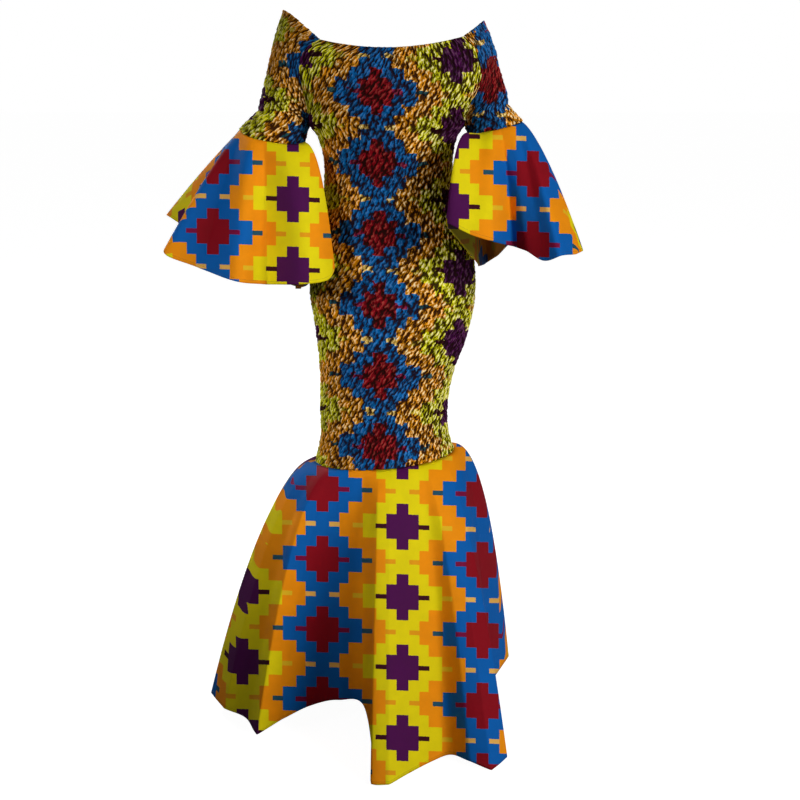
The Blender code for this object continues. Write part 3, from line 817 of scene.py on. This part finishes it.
@dataclass(frozen=True)
class PrintedCotton:
    """Crisp printed cotton.

    Attributes:
        name: Name of the material.
        roughness: Middle roughness.
        shine: Strength of the highlights.
        thread_rise: Height of the weave.
        pleat_rise: Height of the fine pleats on a puff.
        deep: Strength of the painted shade between its puffs, or 0 for cloth without them.
        reverse_shade: Share of painted shade on the reverse, which makes it darker and duller
            than the face.
        tones: Lightness of its darkest and of its lightest threads.
        thread_share: Share of the thread's colour where there is a stitch.
        uneven: How much the roughness changes with the threads.
        bump: Strength of the relief.
        thread: Colour of the stitches.
        shade: Painted shade colour that the reverse goes towards.
    """

    name: str
    roughness: float = 0.72
    shine: float = 0.12
    thread_rise: float = 0.00012
    pleat_rise: float = 0.0012
    deep: float = 0.0
    reverse_shade: float = 0.0
    tones: tuple[float, float] = (0.90, 1.07)
    thread_share: float = 0.55
    uneven: float = 0.16
    bump: float = 0.8
    thread: tuple[float, float, float, float] = (0.05, 0.03, 0.02, 1)
    shade: tuple[float, float, float, float] = (0.11, 0.09, 0.05, 1)

    def material(self, groups: dict[str, bpy.types.NodeTree]) -> bpy.types.Material:
        """Make the material.

        Args:
            groups: The shared node groups by name.

        Returns:
            The material.
        """
        made = bpy.data.materials.new(self.name)
        made.use_nodes = True
        graph = Graph(made.node_tree)
        place = graph.uv("print")
        colour = graph.group(groups["print"], {"Place": place})["Color"]
        weave = graph.group(groups["weave"], {"Place": place})
        tone = graph.rescale(weave["Tone"], 0.3, 0.7, *self.tones)
        colour = graph.vector("SCALE", {0: colour, 3: tone})
        height, rise = weave["Height"], self.thread_rise
        if self.deep:
            height = graph.group(groups["pleats"], {"Place": graph.uv("gather")})["Height"]
            rise = self.pleat_rise
            marks = {title.title(): graph.node("Attribute", attribute_name=title).outputs["Fac"]
                     for title in ("puff", "side", "tone")}
            # Painted light, painted shade and painted highlight on the puffs.
            colour = graph.group(groups["puffs"], {"Ink": colour, "Crumple": height,
                                                   "Deep": self.deep, **marks})["Color"]
        else:
            along, from_edge = graph.split(graph.uv("edge"))
            mask = graph.group(groups["stitch"], {"Along": along, "From Edge": from_edge})["Mask"]
            share = graph.math("MULTIPLY", mask, self.thread_share)
            colour = graph.mix(share, colour, self.thread)
        # Painted shade on the reverse, where the inside of the cloth lies in shadow.
        if self.reverse_shade:
            colour = graph.mix(self.reverse_shade, colour, self.shade)
        shader = made.node_tree.nodes["Principled BSDF"]
        graph.join(colour, shader.inputs["Base Color"])
        rough = graph.math("MULTIPLY_ADD", weave["Tone"], self.uneven,
                           self.roughness - self.uneven / 2)
        graph.join(rough, shader.inputs["Roughness"])
        shader.inputs["Specular IOR Level"].default_value = self.shine
        bump = graph.node("Bump", {"Height": height, "Distance": rise, "Strength": self.bump})
        graph.join(bump.outputs[0], shader.inputs["Normal"])
        return made


@dataclass
class Cloth:
    """A sheet of cloth as a grid of points, with its print places.

    Attributes:
        name: Name of the node that it stands for.
        grid: Outer surface, rows going down and columns counter-clockwise.
        places: Print places of the points.
        joined_from: Row from which the last column is the first one again, if any.
        gathered: Places across and down the smocking.
        marks: Numbers for the material at each point, by name.
        hem: Place of each point along the hem, and its distance from it.
    """

    name: str
    grid: Grid
    places: Grid
    joined_from: int | None = None
    gathered: Grid | None = None
    marks: dict[str, Grid] = field(default_factory=dict)
    hem: Grid | None = None

    def maps(self) -> dict[str, Grid]:
        """The UV maps that the piece has, by name."""
        every = {"print": self.places, "gather": self.gathered, "edge": self.hem}
        return {title: values for title, values in every.items() if values is not None}

    def surface(self) -> tuple[Grid, Grid]:
        """Four-cornered faces of the outer surface, and the grid place of each corner."""
        rows, columns = self.grid.shape[:2]
        place = np.arange(rows * columns).reshape(rows, columns)
        corners = np.stack([place[:-1, :-1], place[1:, :-1], place[1:, 1:], place[:-1, 1:]],
                           axis=2).reshape(-1, 4)
        if self.joined_from is not None:
            place[self.joined_from:, -1] = place[self.joined_from:, 0]
        return place.reshape(-1)[corners], corners

    def build(self, materials: Materials) -> bpy.types.Object:
        """Make the outer surface as a mesh with its UV maps and marks.

        Args:
            materials: Face and reverse of the cloth.

        Returns:
            The object, linked to the scene.
        """
        faces, corners = self.surface()
        mesh = bpy.data.meshes.new(self.name)
        mesh.from_pydata(self.grid.reshape(-1, 3).tolist(), [], faces.tolist())
        write_layers(mesh, self.maps(), self.marks, corners)
        for material in materials:
            mesh.materials.append(material)
        mesh.shade_smooth()
        made = bpy.data.objects.new(self.name, mesh)
        bpy.context.scene.collection.objects.link(made)
        choose(made)
        bpy.ops.object.mode_set(mode="EDIT")
        bpy.ops.mesh.select_all(action="SELECT")
        bpy.ops.mesh.delete_loose()
        bpy.ops.object.mode_set(mode="OBJECT")
        return made


def write_layers(mesh: bpy.types.Mesh, maps: dict[str, Grid], marks: dict[str, Grid],
                 corners: Grid) -> None:
    """Give a mesh its UV maps and its numbers for the material.

    Args:
        mesh: The mesh.
        maps: Two places for each point, by the map's name.
        marks: A number for each point, by name.
        corners: The point of each corner of the faces.
    """
    for title, values in maps.items():
        layer = mesh.uv_layers.new(name=title)
        layer.data.foreach_set("uv", values.reshape(-1, 2)[corners].ravel())
    for title, values in marks.items():
        attribute = mesh.attributes.new(title, "FLOAT", "POINT")
        attribute.data.foreach_set("value", values.ravel())


def choose(made: bpy.types.Object) -> None:
    """Select one object only and make it active."""
    bpy.ops.object.select_all(action="DESELECT")
    made.select_set(True)
    bpy.context.view_layer.objects.active = made


def thicken(made: bpy.types.Object) -> None:
    """Give a sheet its thickness on the inside, with its own reverse."""
    choose(made)
    modifier = made.modifiers.new("thickness", "SOLIDIFY")
    modifier.thickness = CLOTH
    modifier.offset = -1
    modifier.material_offset = 1
    modifier.material_offset_rim = 0
    bpy.ops.object.modifier_apply(modifier=modifier.name)


@dataclass
class SmockedBody:
    """The smocked body, front and back.

    Attributes:
        columns: Spans across a panel of the coarse form.
        lower_rows: Spans from the underarm to the knee seam.
        row_parts: Parts of each span of rows.
        column_parts: Parts of each span of columns.
        knee_tilt: Rise of the knee seam towards the wearer's left.
        neck_dip: Middle of the neckline, against its corners.
        neck_rise: How fast the neckline rises to them.
        edge_pull: How closely the armhole rows keep to the sides.
        width: Usual width of a panel.
        inner_step: Points of the outer wall for each one inside, along rows and columns.
        follow: Share by which the front's print follows the cloth sideways.
        drift: How far the print's columns lean to the right sleeve at the top.
        drift_from: Height at which they start to lean, and at which they stop.
        back_start: Where the back's smocking starts, far from the front's.
    """

    columns: int = 24
    lower_rows: int = 33
    row_parts: int = 9
    column_parts: int = 10
    knee_tilt: float = 0.086
    neck_dip: float = -0.006
    neck_rise: float = 0.96
    edge_pull: int = 4
    width: float = 0.43
    inner_step: int = 10
    follow: float = 0.22
    drift: float = 0.0085
    drift_from: tuple[float, float] = (-0.45, -0.05)
    back_start: float = 7.0
    puffs: Puffs = Puffs()
    layout: PrintLayout = PrintLayout(-0.0427, 0.6572)

    def limits(self, z: float, front: bool) -> tuple[float, float]:
        """Angles at which a panel starts and ends at the side height z."""
        centre, half_width = body_section(z)[0][:2]
        rows = {row.z: row for row in ARMHOLE}
        if z not in rows:
            return -math.pi / 2, math.pi / 2
        row = rows[z]
        if front:
            return (math.asin((-row.front_right - centre) / half_width),
                    math.asin((row.front_left - centre) / half_width))
        return (-math.asin((row.back - centre) / half_width),
                math.asin((row.back + centre) / half_width))

    def form(self, front: bool) -> Grid:
        """Coarse form of a panel, as in its solid."""
        facing = 1 if front else -1
        across = np.linspace(-1, 1, self.columns + 1)
        upper = [row.z for row in ARMHOLE]
        lower = np.linspace(UNDERARM, KNEE_SEAM, self.lower_rows + 1)
        rows = []
        for row, side_z in enumerate([*upper, *lower]):
            first, last = self.limits(side_z, front)
            even_z = UNDERARM * min(1, row / len(ARMHOLE))
            z = side_z + (even_z - side_z) * (1 - across ** self.edge_pull) * (row < len(ARMHOLE))
            angle = np.linspace(first, last, self.columns + 1)
            centre, half_width, front_depth, back_depth = body_section(z).T
            depth = front_depth if front else back_depth
            x = centre + facing * half_width * np.sin(angle)
            y = -facing * depth * np.cos(angle)
            neck_share = np.maximum(0, 1 - z / UNDERARM)
            knee_share = np.maximum(0, (UNDERARM - z) / (UNDERARM - KNEE_SEAM)) ** 2
            rise = neck_share * (self.neck_dip + self.neck_rise * x ** 2)
            rows.append(np.stack([x, y, z + rise + knee_share * self.knee_tilt * x], axis=1))
        return np.array(rows)

    def panel(self, front: bool, materials: Materials) -> None:
        """Make the front or back of the body.

        Args:
            front: Whether it is the front.
            materials: Face and reverse of the cloth.
        """
        base = refined(self.form(front), self.row_parts, self.column_parts)
        columns = base.shape[1]
        flat = smocking_places(base, self.width, 0 if front else self.back_start)
        gathers = self.puffs.shape(flat[..., 0], flat[..., 1])
        out = grid_normals(base, closed=False)
        grid = base + out * (gathers.height - SINK)[..., None]
        free = np.full(columns, self.follow if front else 1.0)
        places = self.layout.on_cloth(base, columns // 2, free) + gathers.slip
        places[..., 0] += self.drift * ramp(base[..., 2], *self.drift_from)
        name = "body_front" if front else "body_back"
        cloth = Cloth(name, grid, places, gathered=flat, marks=gathers.marks())
        made = cloth.build(materials)
        close_inside(made, base - out * (CLOTH + SINK), cloth, self.inner_step)
        finish_smocked(made, name, self.width, flat)


def smocking_places(base: Grid, width: float, start: float = 0.0) -> Grid:
    """Places across and down the smocking for each point of a smocked piece.

    Args:
        base: The points of the piece without its puffs.
        width: Width of its smocking.
        start: Place of its middle across the smocking.

    Returns:
        A grid of two places in metres.
    """
    columns = base.shape[1]
    across = np.linspace(-0.5, 0.5, columns) * width + start
    return np.stack(np.meshgrid(across, path_lengths(base[:, columns // 2])), axis=2)


def close_inside(made: bpy.types.Object, inner: Grid, cloth: Cloth, step: int) -> None:
    """Add a plain inner wall to an open sheet and close its edges.

    Args:
        made: The sheet, still with its points in grid order.
        inner: Points of the inner wall, at the same grid places.
        cloth: The sheet's grid.
        step: Points of the outer wall for each one inside.
    """
    rows, columns = inner.shape[:2]
    down = np.unique(np.r_[0:rows:step, rows - 1])
    across = np.unique(np.r_[0:columns:step, columns - 1])
    number = np.arange(rows * columns).reshape(rows, columns)
    kept = inner[np.ix_(down, across)]
    start = rows * columns
    inside = start + np.arange(kept.size // 3).reshape(kept.shape[:2])
    faces = np.stack([inside[:-1, :-1], inside[:-1, 1:], inside[1:, 1:], inside[1:, :-1]],
                     axis=2).reshape(-1, 4).tolist()
    rims = ((number[0], inside[0], across, False), (number[-1], inside[-1], across, True),
            (number[:, 0], inside[:, 0], down, True), (number[:, -1], inside[:, -1], down, False))
    for outer_edge, inner_edge, stops, flipped in rims:
        for place in range(len(stops) - 1):
            outer = outer_edge[stops[place]:stops[place + 1] + 1]
            face = [*outer.tolist(), int(inner_edge[place + 1]), int(inner_edge[place])]
            faces.append(face[::-1] if flipped else face)
    mesh = made.data
    outer_faces = cloth.surface()[0]
    everything = outer_faces.tolist() + faces
    points = np.concatenate([cloth.grid.reshape(-1, 3), kept.reshape(-1, 3)])
    new = bpy.data.meshes.new(made.name)
    new.from_pydata(points.tolist(), [], everything)
    maps = {title: np.concatenate([values.reshape(-1, 2),
                                   values[np.ix_(down, across)].reshape(-1, 2)])
            for title, values in cloth.maps().items()}
    marks = {title: np.concatenate([values.ravel(), np.ones(kept.size // 3)])
             for title, values in cloth.marks.items()}
    write_layers(new, maps, marks, np.concatenate(everything))
    for material in mesh.materials:
        new.materials.append(material)
    kinds = np.zeros(len(everything), int)
    kinds[len(outer_faces):] = 1
    new.polygons.foreach_set("material_index", kinds)
    new.shade_smooth()
    made.data = new
    bpy.data.meshes.remove(mesh)


def finish_piece(made: bpy.types.Object, node: str, slot: str, held: str,
                 flat: tuple[float, float], area: float | None = None) -> None:
    """Say what a piece stands for, what it is made of and what it was cut from.

    Args:
        made: The piece.
        node: The solid that it replaces.
        slot: Its material slot; not used.
        held: How the cloth is held; not used.
        flat: Width and length of its cut; not used.
        area: Area of its cut, if that isn't a rectangle; not used.
    """
    made.name = f"{node}_cloth"
    made.data.name = made.name
    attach(made, "root")
    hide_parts(node)
    log.info("%s: %d faces", made.name, len(made.data.polygons))


def finish_smocked(made: bpy.types.Object, node: str, width: float, flat: Grid) -> None:
    """Finish a smocked piece.

    Args:
        made: The piece.
        node: The solid that it replaces.
        width: Width of its smocking.
        flat: Its places across and down the smocking.
    """
    length = float(flat[-1, 0, 1])
    finish_piece(made, node, "smocked_cotton", "gathered", (width * FULLNESS, length))


@dataclass
class Sleeve:
    """A smocked upper sleeve and its circular flounce.

    Attributes:
        side: Side of the wearer.
        sections: Rings of the upper sleeve.
        folds: Folds of the flounce.
        cuff: Middle of the ring where the flounce is sewn on.
        radius: Half widths of that ring.
        tilt: Its slopes across and along.
        layout: How the print lies on the upper sleeve.
        flounce_layout: How it lies on the flounce.
        columns: Spans round the arm of the coarse form.
        cuff_rows: Rows between the underarm and the flounce's seam.
        row_parts: Parts of each span of rows.
        column_parts: Parts of each span of columns.
        flounce_columns: Parts of each span of columns on the flounce.
        flounce_rows: Spans from the flounce's seam to its hem.
        crisp: Sharpness of the flounce's valleys.
        off_body: Distance that the flounce keeps from the body.
        width: Width of the smocking round the arm.
        front_share: Share of the way round at which the right upper sleeve's front lies.
        follow: Share by which the print follows the cloth there.
        turns: Turns from the front at which the print starts to follow the upper
            sleeve's cloth, and at which it follows it wholly.
        flounce_turns: The same for the flounce.
        even_seam: Shares of the half round at which the puffs die out to the seam.
    """

    side: Side
    sections: Sequence[SleeveSection]
    folds: Sequence[Fold]
    cuff: tuple[float, float, float]
    radius: tuple[float, float]
    tilt: tuple[float, float]
    layout: PrintLayout
    flounce_layout: PrintLayout
    columns: int = 26
    cuff_rows: int = 3
    row_parts: int = 7
    column_parts: int = 8
    flounce_columns: int = 10
    flounce_rows: int = 90
    crisp: float = 0.85
    off_body: float = 0.012
    width: float = 0.36
    front_share: float = 0.72
    follow: float = 0.15
    turns: tuple[float, float] = (70, 110)
    flounce_turns: tuple[float, float] = (72, 92)
    even_seam: tuple[float, float] = (1.0, 0.94)
    puffs: Puffs = Puffs(seed=23)

    def share(self, parts: int = 1) -> Grid:
        """Places round the arm from 0 to 1, from the body side round and back to it."""
        return np.linspace(0, 1, self.columns * parts + 1)

    def cuff_ring(self, share: Grid) -> Grid:
        """Ring on the arm where the flounce is sewn on."""
        turn = 2 * math.pi * share
        sign = self.side.value
        x = -sign * self.radius[0] * np.cos(turn)
        y = -sign * self.radius[1] * np.sin(turn)
        z = self.cuff[2] + self.tilt[0] * x + self.tilt[1] * y
        return np.stack([self.cuff[0] + x, self.cuff[1] + y, z], axis=1)

    def row(self, section: Grid, start: Grid, end: Grid, whole: bool) -> Grid:
        """One row of the upper sleeve, round the outside of the arm between two points."""
        outer_x, outer_z, centre, front, back = section
        sign = self.side.value
        reach = abs(outer_x - centre)
        share = self.share()
        first_turn, last_turn = 0.0, 2 * math.pi
        if not whole:
            turns = []
            for point in (start, end):
                depth = front if point[1] < 0 else back
                turns.append(math.atan2(-sign * point[1] / depth,
                                        -sign * (point[0] - centre) / reach))
            first_turn, last_turn = turns[0], turns[1] % (2 * math.pi)
        turn = first_turn + (last_turn - first_turn) * share
        along = -sign * np.sin(turn)
        plan = np.stack([centre - sign * reach * np.cos(turn),
                         along * np.where(along < 0, front, back)], axis=1)
        plan += np.outer((1 - share) ** 3, start[:2] - plan[0])
        plan += np.outer(share ** 3, end[:2] - plan[-1])
        base = start[2] + (end[2] - start[2]) * share
        z = base + (outer_z - base) * np.sin(math.pi * share)
        return np.column_stack([plan, z])

    def form(self, front: Grid, back: Grid) -> Grid:
        """Coarse form of the upper sleeve, as in its solid."""
        table = np.array(self.sections, float)
        right = self.side is Side.RIGHT
        rows = []
        for row in range(len(ARMHOLE) + 1):
            front_point = front[row, 0 if right else -1]
            back_point = back[row, -1 if right else 0]
            start, end = (back_point, front_point) if right else (front_point, back_point)
            section = smooth_curve(table[:, 0], table[:, 1:], [row / len(ARMHOLE)])[0]
            rows.append(self.row(section, start, end, row == len(ARMHOLE)))
        ring = rows[-1]
        ring[-1] = ring[0]
        cuff = self.cuff_ring(self.share())
        cuff[-1] = cuff[0]
        for share in np.linspace(0, 1, self.cuff_rows + 1)[1:]:
            rows.append(ring + (cuff - ring) * share)
        return np.array(rows)

    def upper(self, front: Grid, back: Grid, materials: Materials) -> None:
        """Make the smocked upper sleeve.

        Args:
            front: Coarse form of the body's front.
            back: Coarse form of its back.
            materials: Face and reverse of the cloth.
        """
        base = refined(self.form(front, back), self.row_parts, self.column_parts)
        columns = base.shape[1]
        joined = len(ARMHOLE) * self.row_parts
        base[joined:, -1] = base[joined:, 0]
        flat = smocking_places(base, self.width)
        gathers = self.puffs.shape(flat[..., 0], flat[..., 1])
        heights = gathers.height.copy()
        heights[joined:] *= ramp(np.abs(np.linspace(-1, 1, columns)), *self.even_seam)
        out = grid_normals(base, closed=False)
        out[joined:] = grid_normals(base[joined:], closed=True)
        grid = base + out * (heights - SINK)[..., None]
        grid[joined:, -1] = grid[joined:, 0]
        share = self.front_share if self.side is Side.RIGHT else 1 - self.front_share
        middle = round(columns * share)
        turn = np.abs(np.arange(columns) - middle) / columns * 360
        free = self.follow + (1 - self.follow) * ramp(turn, *self.turns)
        places = self.layout.on_cloth(base, middle, free) + gathers.slip
        name = f"sleeve_upper_{self.side.name.lower()}"
        made = Cloth(name, grid, places, joined, flat, gathers.marks()).build(materials)
        thicken(made)
        finish_smocked(made, name, self.width, flat)

    def flounce(self, materials: Materials) -> None:
        """Make the circular flounce."""
        share = self.share(self.flounce_columns)
        seam = smooth_curve(self.share(), self.cuff_ring(self.share()), share)
        turns = 360 * share
        grid = flounce_grid(seam, turns, self.folds, self.flounce_rows, 0.0, False, self.crisp)
        grid = keep_off_body(grid, self.off_body)
        grid[:, -1] = grid[:, 0]
        away = np.abs(turns - (270 if self.side is Side.RIGHT else 90))
        away = np.minimum(away, 360 - away)
        places = self.flounce_layout.unrolled(grid, int(np.argmin(away)),
                                              ramp(away, *self.flounce_turns))
        finish_flounce(f"sleeve_flounce_{self.side.name.lower()}", grid, places, 0, materials)


def finish_flounce(name: str, grid: Grid, places: Grid, joined_from: int | None,
                   materials: Materials) -> None:
    """Make a flounce of its grid.

    Args:
        name: The node that it stands for.
        grid: Its points.
        places: Their print places.
        joined_from: 0 if the last column is the first one again, or None.
        materials: Face and reverse of the cloth.
    """
    made = Cloth(name, grid, places, joined_from, hem=hem_places(grid)).build(materials)
    thicken(made)
    finish_piece(made, name, "printed_cotton", "hung", *ring_cut(grid))


def surface_area(grid: Grid) -> float:
    """Area of a grid of points."""
    first = np.cross(grid[1:, :-1] - grid[:-1, :-1], grid[:-1, 1:] - grid[:-1, :-1])
    second = np.cross(grid[1:, 1:] - grid[1:, :-1], grid[1:, 1:] - grid[:-1, 1:])
    return float(np.linalg.norm(first, axis=2).sum() + np.linalg.norm(second, axis=2).sum()) / 2


def ring_cut(grid: Grid) -> tuple[tuple[float, float], float]:
    """Flat size and area of the part of a ring that a flounce is cut as.

    Args:
        grid: The points, from the seam to the hem.

    Returns:
        The width and height that the cut needs, and its area.
    """
    seam = float(spacing(grid[0]).sum())
    depth = float(spacing(grid).sum(axis=0).mean())
    area = surface_area(grid)
    opening = 2 * (area / depth - seam) / depth
    inner = seam / opening
    outer = inner + depth
    width = 2 * outer * math.sin(min(opening, math.pi) / 2)
    ends = (inner if opening < math.pi else outer) * math.cos(opening / 2)
    return (width, outer - ends), area


def hem_places(grid: Grid) -> Grid:
    """Place along the hem and distance from it, for each point of a flounce."""
    from_hem = np.concatenate([np.cumsum(spacing(grid)[::-1], axis=0)[::-1],
                               np.zeros((1, grid.shape[1]))])
    along = np.broadcast_to(path_lengths(grid[-1]), from_hem.shape)
    return np.stack([along, from_hem], axis=2)


def flounce_grid(seam: Grid, turns: Grid, folds: Sequence[Fold], rows: int,
                 floor: float, crests: bool, crisp: float) -> Grid:
    """A circular flounce that swings out from its seam and opens into folds.

    Args:
        seam: Points of the seam.
        turns: Turn of each of them in degrees.
        folds: The crests and valleys.
        rows: Spans from the seam to the hem.
        floor: Height that the folds' own heights count from.
        crests: Whether the crests are the sharp ones, or else the valleys.
        crisp: How sharp they are, from 0 to 1.

    Returns:
        A grid of points.
    """
    fold_delay, crowding, harmonics = 0.10, 1.15, 2
    table = np.array(folds, float)
    hem_points = table[:, 1:4] + (0, 0, floor)
    reach = np.hypot(*np.moveaxis(hem_points[:, :2] - hem_points[:, :2].mean(axis=0), 1, 0))
    stands_out = np.where(reach > (np.roll(reach, 1) + np.roll(reach, -1)) / 2, 1.0, 0.0)
    sharpness = crisp * (stands_out if crests else 1 - stands_out)
    hem = smooth_curve(table[:, 0], hem_points, turns, 360, sharpness)
    flare = smooth_curve(table[:, 0], table[:, 4:], turns, 360)
    around = np.linspace(0, 2 * math.pi, 361)[:-1]
    dense = smooth_curve(np.radians(table[:, 0]), hem_points, around, 2 * math.pi)
    spectrum = np.fft.rfft(dense, axis=0)
    spectrum[harmonics + 1:] = 0
    large = np.fft.irfft(spectrum, len(around), axis=0)
    base = smooth_curve(around, large, np.radians(turns), 2 * math.pi)
    grid = []
    for share in np.linspace(0, 1, rows + 1) ** crowding:
        swing = np.hstack([share ** flare, share ** flare, share + 0 * flare])
        grid.append(seam + (base - seam) * swing + (hem - base) * share ** (flare + fold_delay))
    return np.array(grid)


def keep_off_body(grid: Grid, clear: float) -> Grid:
    """Move points that come too near the body straight out from its axis."""
    moved = grid.copy()
    below = moved[1:].reshape(-1, 3)
    centre, half_width, front, back = body_section(below[:, 2]).T
    depth = np.where(below[:, 1] < 0, front, back)
    reach = np.hypot((below[:, 0] - centre) / (half_width + clear), below[:, 1] / (depth + clear))
    near = np.minimum(1, reach)
    below[:, 0] = centre + (below[:, 0] - centre) / near
    below[:, 1] = below[:, 1] / near
    moved[1:] = below.reshape(moved[1:].shape)
    return moved


@dataclass
class Skirt:
    """The circular skirt flounce, front and back.

    Attributes:
        rows: Spans from the seam to the hem.
        column_parts: Parts of each span of the body's knee seam.
        crisp: Sharpness of the crests.
        right_turns: Turns to the right at which the front's print starts to follow the
            cloth, and at which it follows it wholly.
        left_turns: The same to the left, on the back.
        folds: The crests and valleys.
        layout: How the print lies.
    """

    rows: int = 110
    column_parts: int = 12
    crisp: float = 0.85
    right_turns: tuple[float, float] = (70, 84)
    left_turns: tuple[float, float] = (106, 120)
    folds: Sequence[Fold] = SKIRT_FOLDS
    layout: PrintLayout = PrintLayout(-0.1654, -0.1889)

    def half(self, seam: Grid, front: bool, materials: Materials) -> None:
        """Make the front or back of the skirt.

        Args:
            seam: Coarse points of the body's knee seam.
            front: Whether it is the front.
            materials: Face and reverse of the cloth.
        """
        spans = len(seam) - 1
        fine = smooth_curve(np.arange(spans + 1), seam, fine_places(spans, self.column_parts))
        first = -90 if front else 90
        turns = np.linspace(first, first + 180, len(fine))
        grid = flounce_grid(fine, turns, self.folds, self.rows, FLOOR, True, self.crisp)
        if front:
            middle, free = len(turns) // 2, ramp(-turns, *self.right_turns)
        else:
            middle, free = 0, ramp(turns, *self.left_turns)
        name = "skirt_flounce_front" if front else "skirt_flounce_back"
        finish_flounce(name, grid, self.layout.unrolled(grid, middle, free), None, materials)


@dataclass
class Studio:
    """Pale floor, soft light and the camera.

    Attributes:
        lens: Focal length in millimetres.
        sensor: Width of the camera's sensor in millimetres.
        floor_size: Side of the floor.
        floor_gap: Distance that it lies below the hem.
        greys: Darkest and lightest grey of the floor.
        glow: How bright the floor looks of itself to the camera.
        fill: Strength of the light from all round.
    """

    lens: float = 59.9
    sensor: float = 36.0
    floor_size: float = 160.0
    floor_gap: float = 0.004
    greys: tuple[float, float] = (0.34, 0.38)
    glow: float = 0.97
    fill: float = 0.06

    def camera(self) -> None:
        """Place the camera in front of the gown, tilted down a little."""
        data = bpy.data.cameras.new("camera")
        data.lens = self.lens
        data.sensor_width = self.sensor
        made = bpy.data.objects.new("camera", data)
        made.location = CAMERA_PLACE
        made.rotation_euler = (math.radians(90 - CAMERA_PITCH), 0, 0)
        bpy.context.scene.collection.objects.link(made)
        bpy.context.scene.camera = made

    def floor(self) -> None:
        """Lay a large pale floor just under the hem."""
        bpy.ops.object.select_all(action="DESELECT")
        bpy.ops.mesh.primitive_plane_add(size=self.floor_size,
                                         location=(0, 0, FLOOR - self.floor_gap))
        made = bpy.context.object
        made.name = "floor"
        bpy.ops.object.transform_apply(location=True, rotation=True, scale=True)
        material = bpy.data.materials.new("pale_floor")
        material.use_nodes = True
        graph = Graph(material.node_tree)
        cloud = graph.noise(graph.node("TexCoord").outputs["Object"], 0.7, 3.0)[0]
        colour = graph.mix(cloud, *((grey, grey, grey, 1) for grey in self.greys))
        shader = material.node_tree.nodes["Principled BSDF"]
        graph.join(colour, shader.inputs["Base Color"])
        seen = graph.node("LightPath").outputs["Is Camera Ray"]
        graph.join(graph.math("MULTIPLY", seen, self.glow), shader.inputs["Emission Strength"])
        shader.inputs["Emission Color"].default_value = (1, 1, 1, 1)
        shader.inputs["Roughness"].default_value = 0.9
        shader.inputs["Specular IOR Level"].default_value = 0.1
        made.data.materials.append(material)

    def lamp(self, name: str, place: tuple[float, float, float],
             aim: tuple[float, float, float], size: float, power: float,
             spread: float = 180.0) -> None:
        """Add a square soft lamp.

        Args:
            name: Its name.
            place: Where it stands.
            aim: The point that it faces.
            size: Its side.
            power: Its power in watts.
            spread: Angle of its light in degrees.
        """
        data = bpy.data.lights.new(name, "AREA")
        data.size = size
        data.energy = power
        data.spread = math.radians(spread)
        made = bpy.data.objects.new(name, data)
        made.location = place
        away = np.array(place) - np.array(aim)
        flat = math.hypot(away[0], away[1])
        made.rotation_euler = (math.atan2(flat, away[2]), 0, math.atan2(away[0], -away[1]))
        bpy.context.scene.collection.objects.link(made)

    def light(self) -> None:
        """Light the gown from the front right, with a weak soft fill all round."""
        world = bpy.data.worlds.new("studio")
        bpy.context.scene.world = world
        world.use_nodes = True
        graph = Graph(world.node_tree)
        seen = graph.node("LightPath").outputs["Is Camera Ray"]
        background = world.node_tree.nodes["Background"]
        strength = graph.math("MULTIPLY_ADD", seen, 1 - self.fill, self.fill)
        graph.join(strength, background.inputs["Strength"])
        background.inputs["Color"].default_value = (1, 1, 1, 1)
        self.lamp("key", (4.05, -3.5, 1.6), aim=(0, 0, -0.8), size=2.4, power=265)
        self.lamp("left", (-2.6, -2.6, 0.7), aim=(-0.05, 0, -0.60), size=0.9, power=1.5,
                  spread=17)
        self.lamp("back", (-1.8, 2.6, 1.2), aim=(0, 0, -0.6), size=1.2, power=60)


def main() -> None:
    """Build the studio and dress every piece."""
    logging.basicConfig(level=logging.INFO, format="%(message)s")
    bpy.context.scene.view_settings.view_transform = "Standard"
    studio = Studio()
    studio.camera()
    studio.floor()
    studio.light()
    groups = {"print": SteppedDiamonds().group(), "weave": weave_group(),
              "pleats": pleat_group(), "puffs": puff_painted_light_group(), "stitch": stitch_group()}
    # Smocked cloth: painted light and shade on its puffs, and painted shade on its reverse.
    smocked = [PrintedCotton("smocked_cotton_face", roughness=0.66, shine=0.05, deep=1.0)
               .material(groups),
               PrintedCotton("smocked_cotton_reverse", deep=0.3, reverse_shade=0.2).material(groups)]
    # Plain cloth with painted shade on its reverse.
    plain = [PrintedCotton("printed_cotton_face").material(groups),
             PrintedCotton("printed_cotton_reverse", reverse_shade=0.4).material(groups)]
    body = SmockedBody()
    body.panel(True, smocked)
    body.panel(False, smocked)
    front, back = body.form(True), body.form(False)
    sleeves = (
        Sleeve(Side.RIGHT, RIGHT_SLEEVE_SECTIONS, RIGHT_SLEEVE_FOLDS,
               cuff=(-0.2260, 0.0, -0.171), radius=(0.0648, 0.060), tilt=(-0.16, 0.20),
               layout=PrintLayout(-0.1536, 0.7127), flounce_layout=PrintLayout(-0.3991, 0.5100)),
        Sleeve(Side.LEFT, LEFT_SLEEVE_SECTIONS, LEFT_SLEEVE_FOLDS,
               cuff=(0.2155, 0.0, -0.158), radius=(0.053, 0.055), tilt=(0.23, 0.02),
               layout=PrintLayout(0.1921, 0.6829), flounce_layout=PrintLayout(0.2838, 0.4823)),
    )
    for sleeve in sleeves:
        sleeve.upper(front, back, smocked)
        sleeve.flounce(plain)
    skirt = Skirt()
    skirt.half(front[-1], True, plain)
    skirt.half(back[-1], False, plain)


if __name__ == "__main__":
    main()
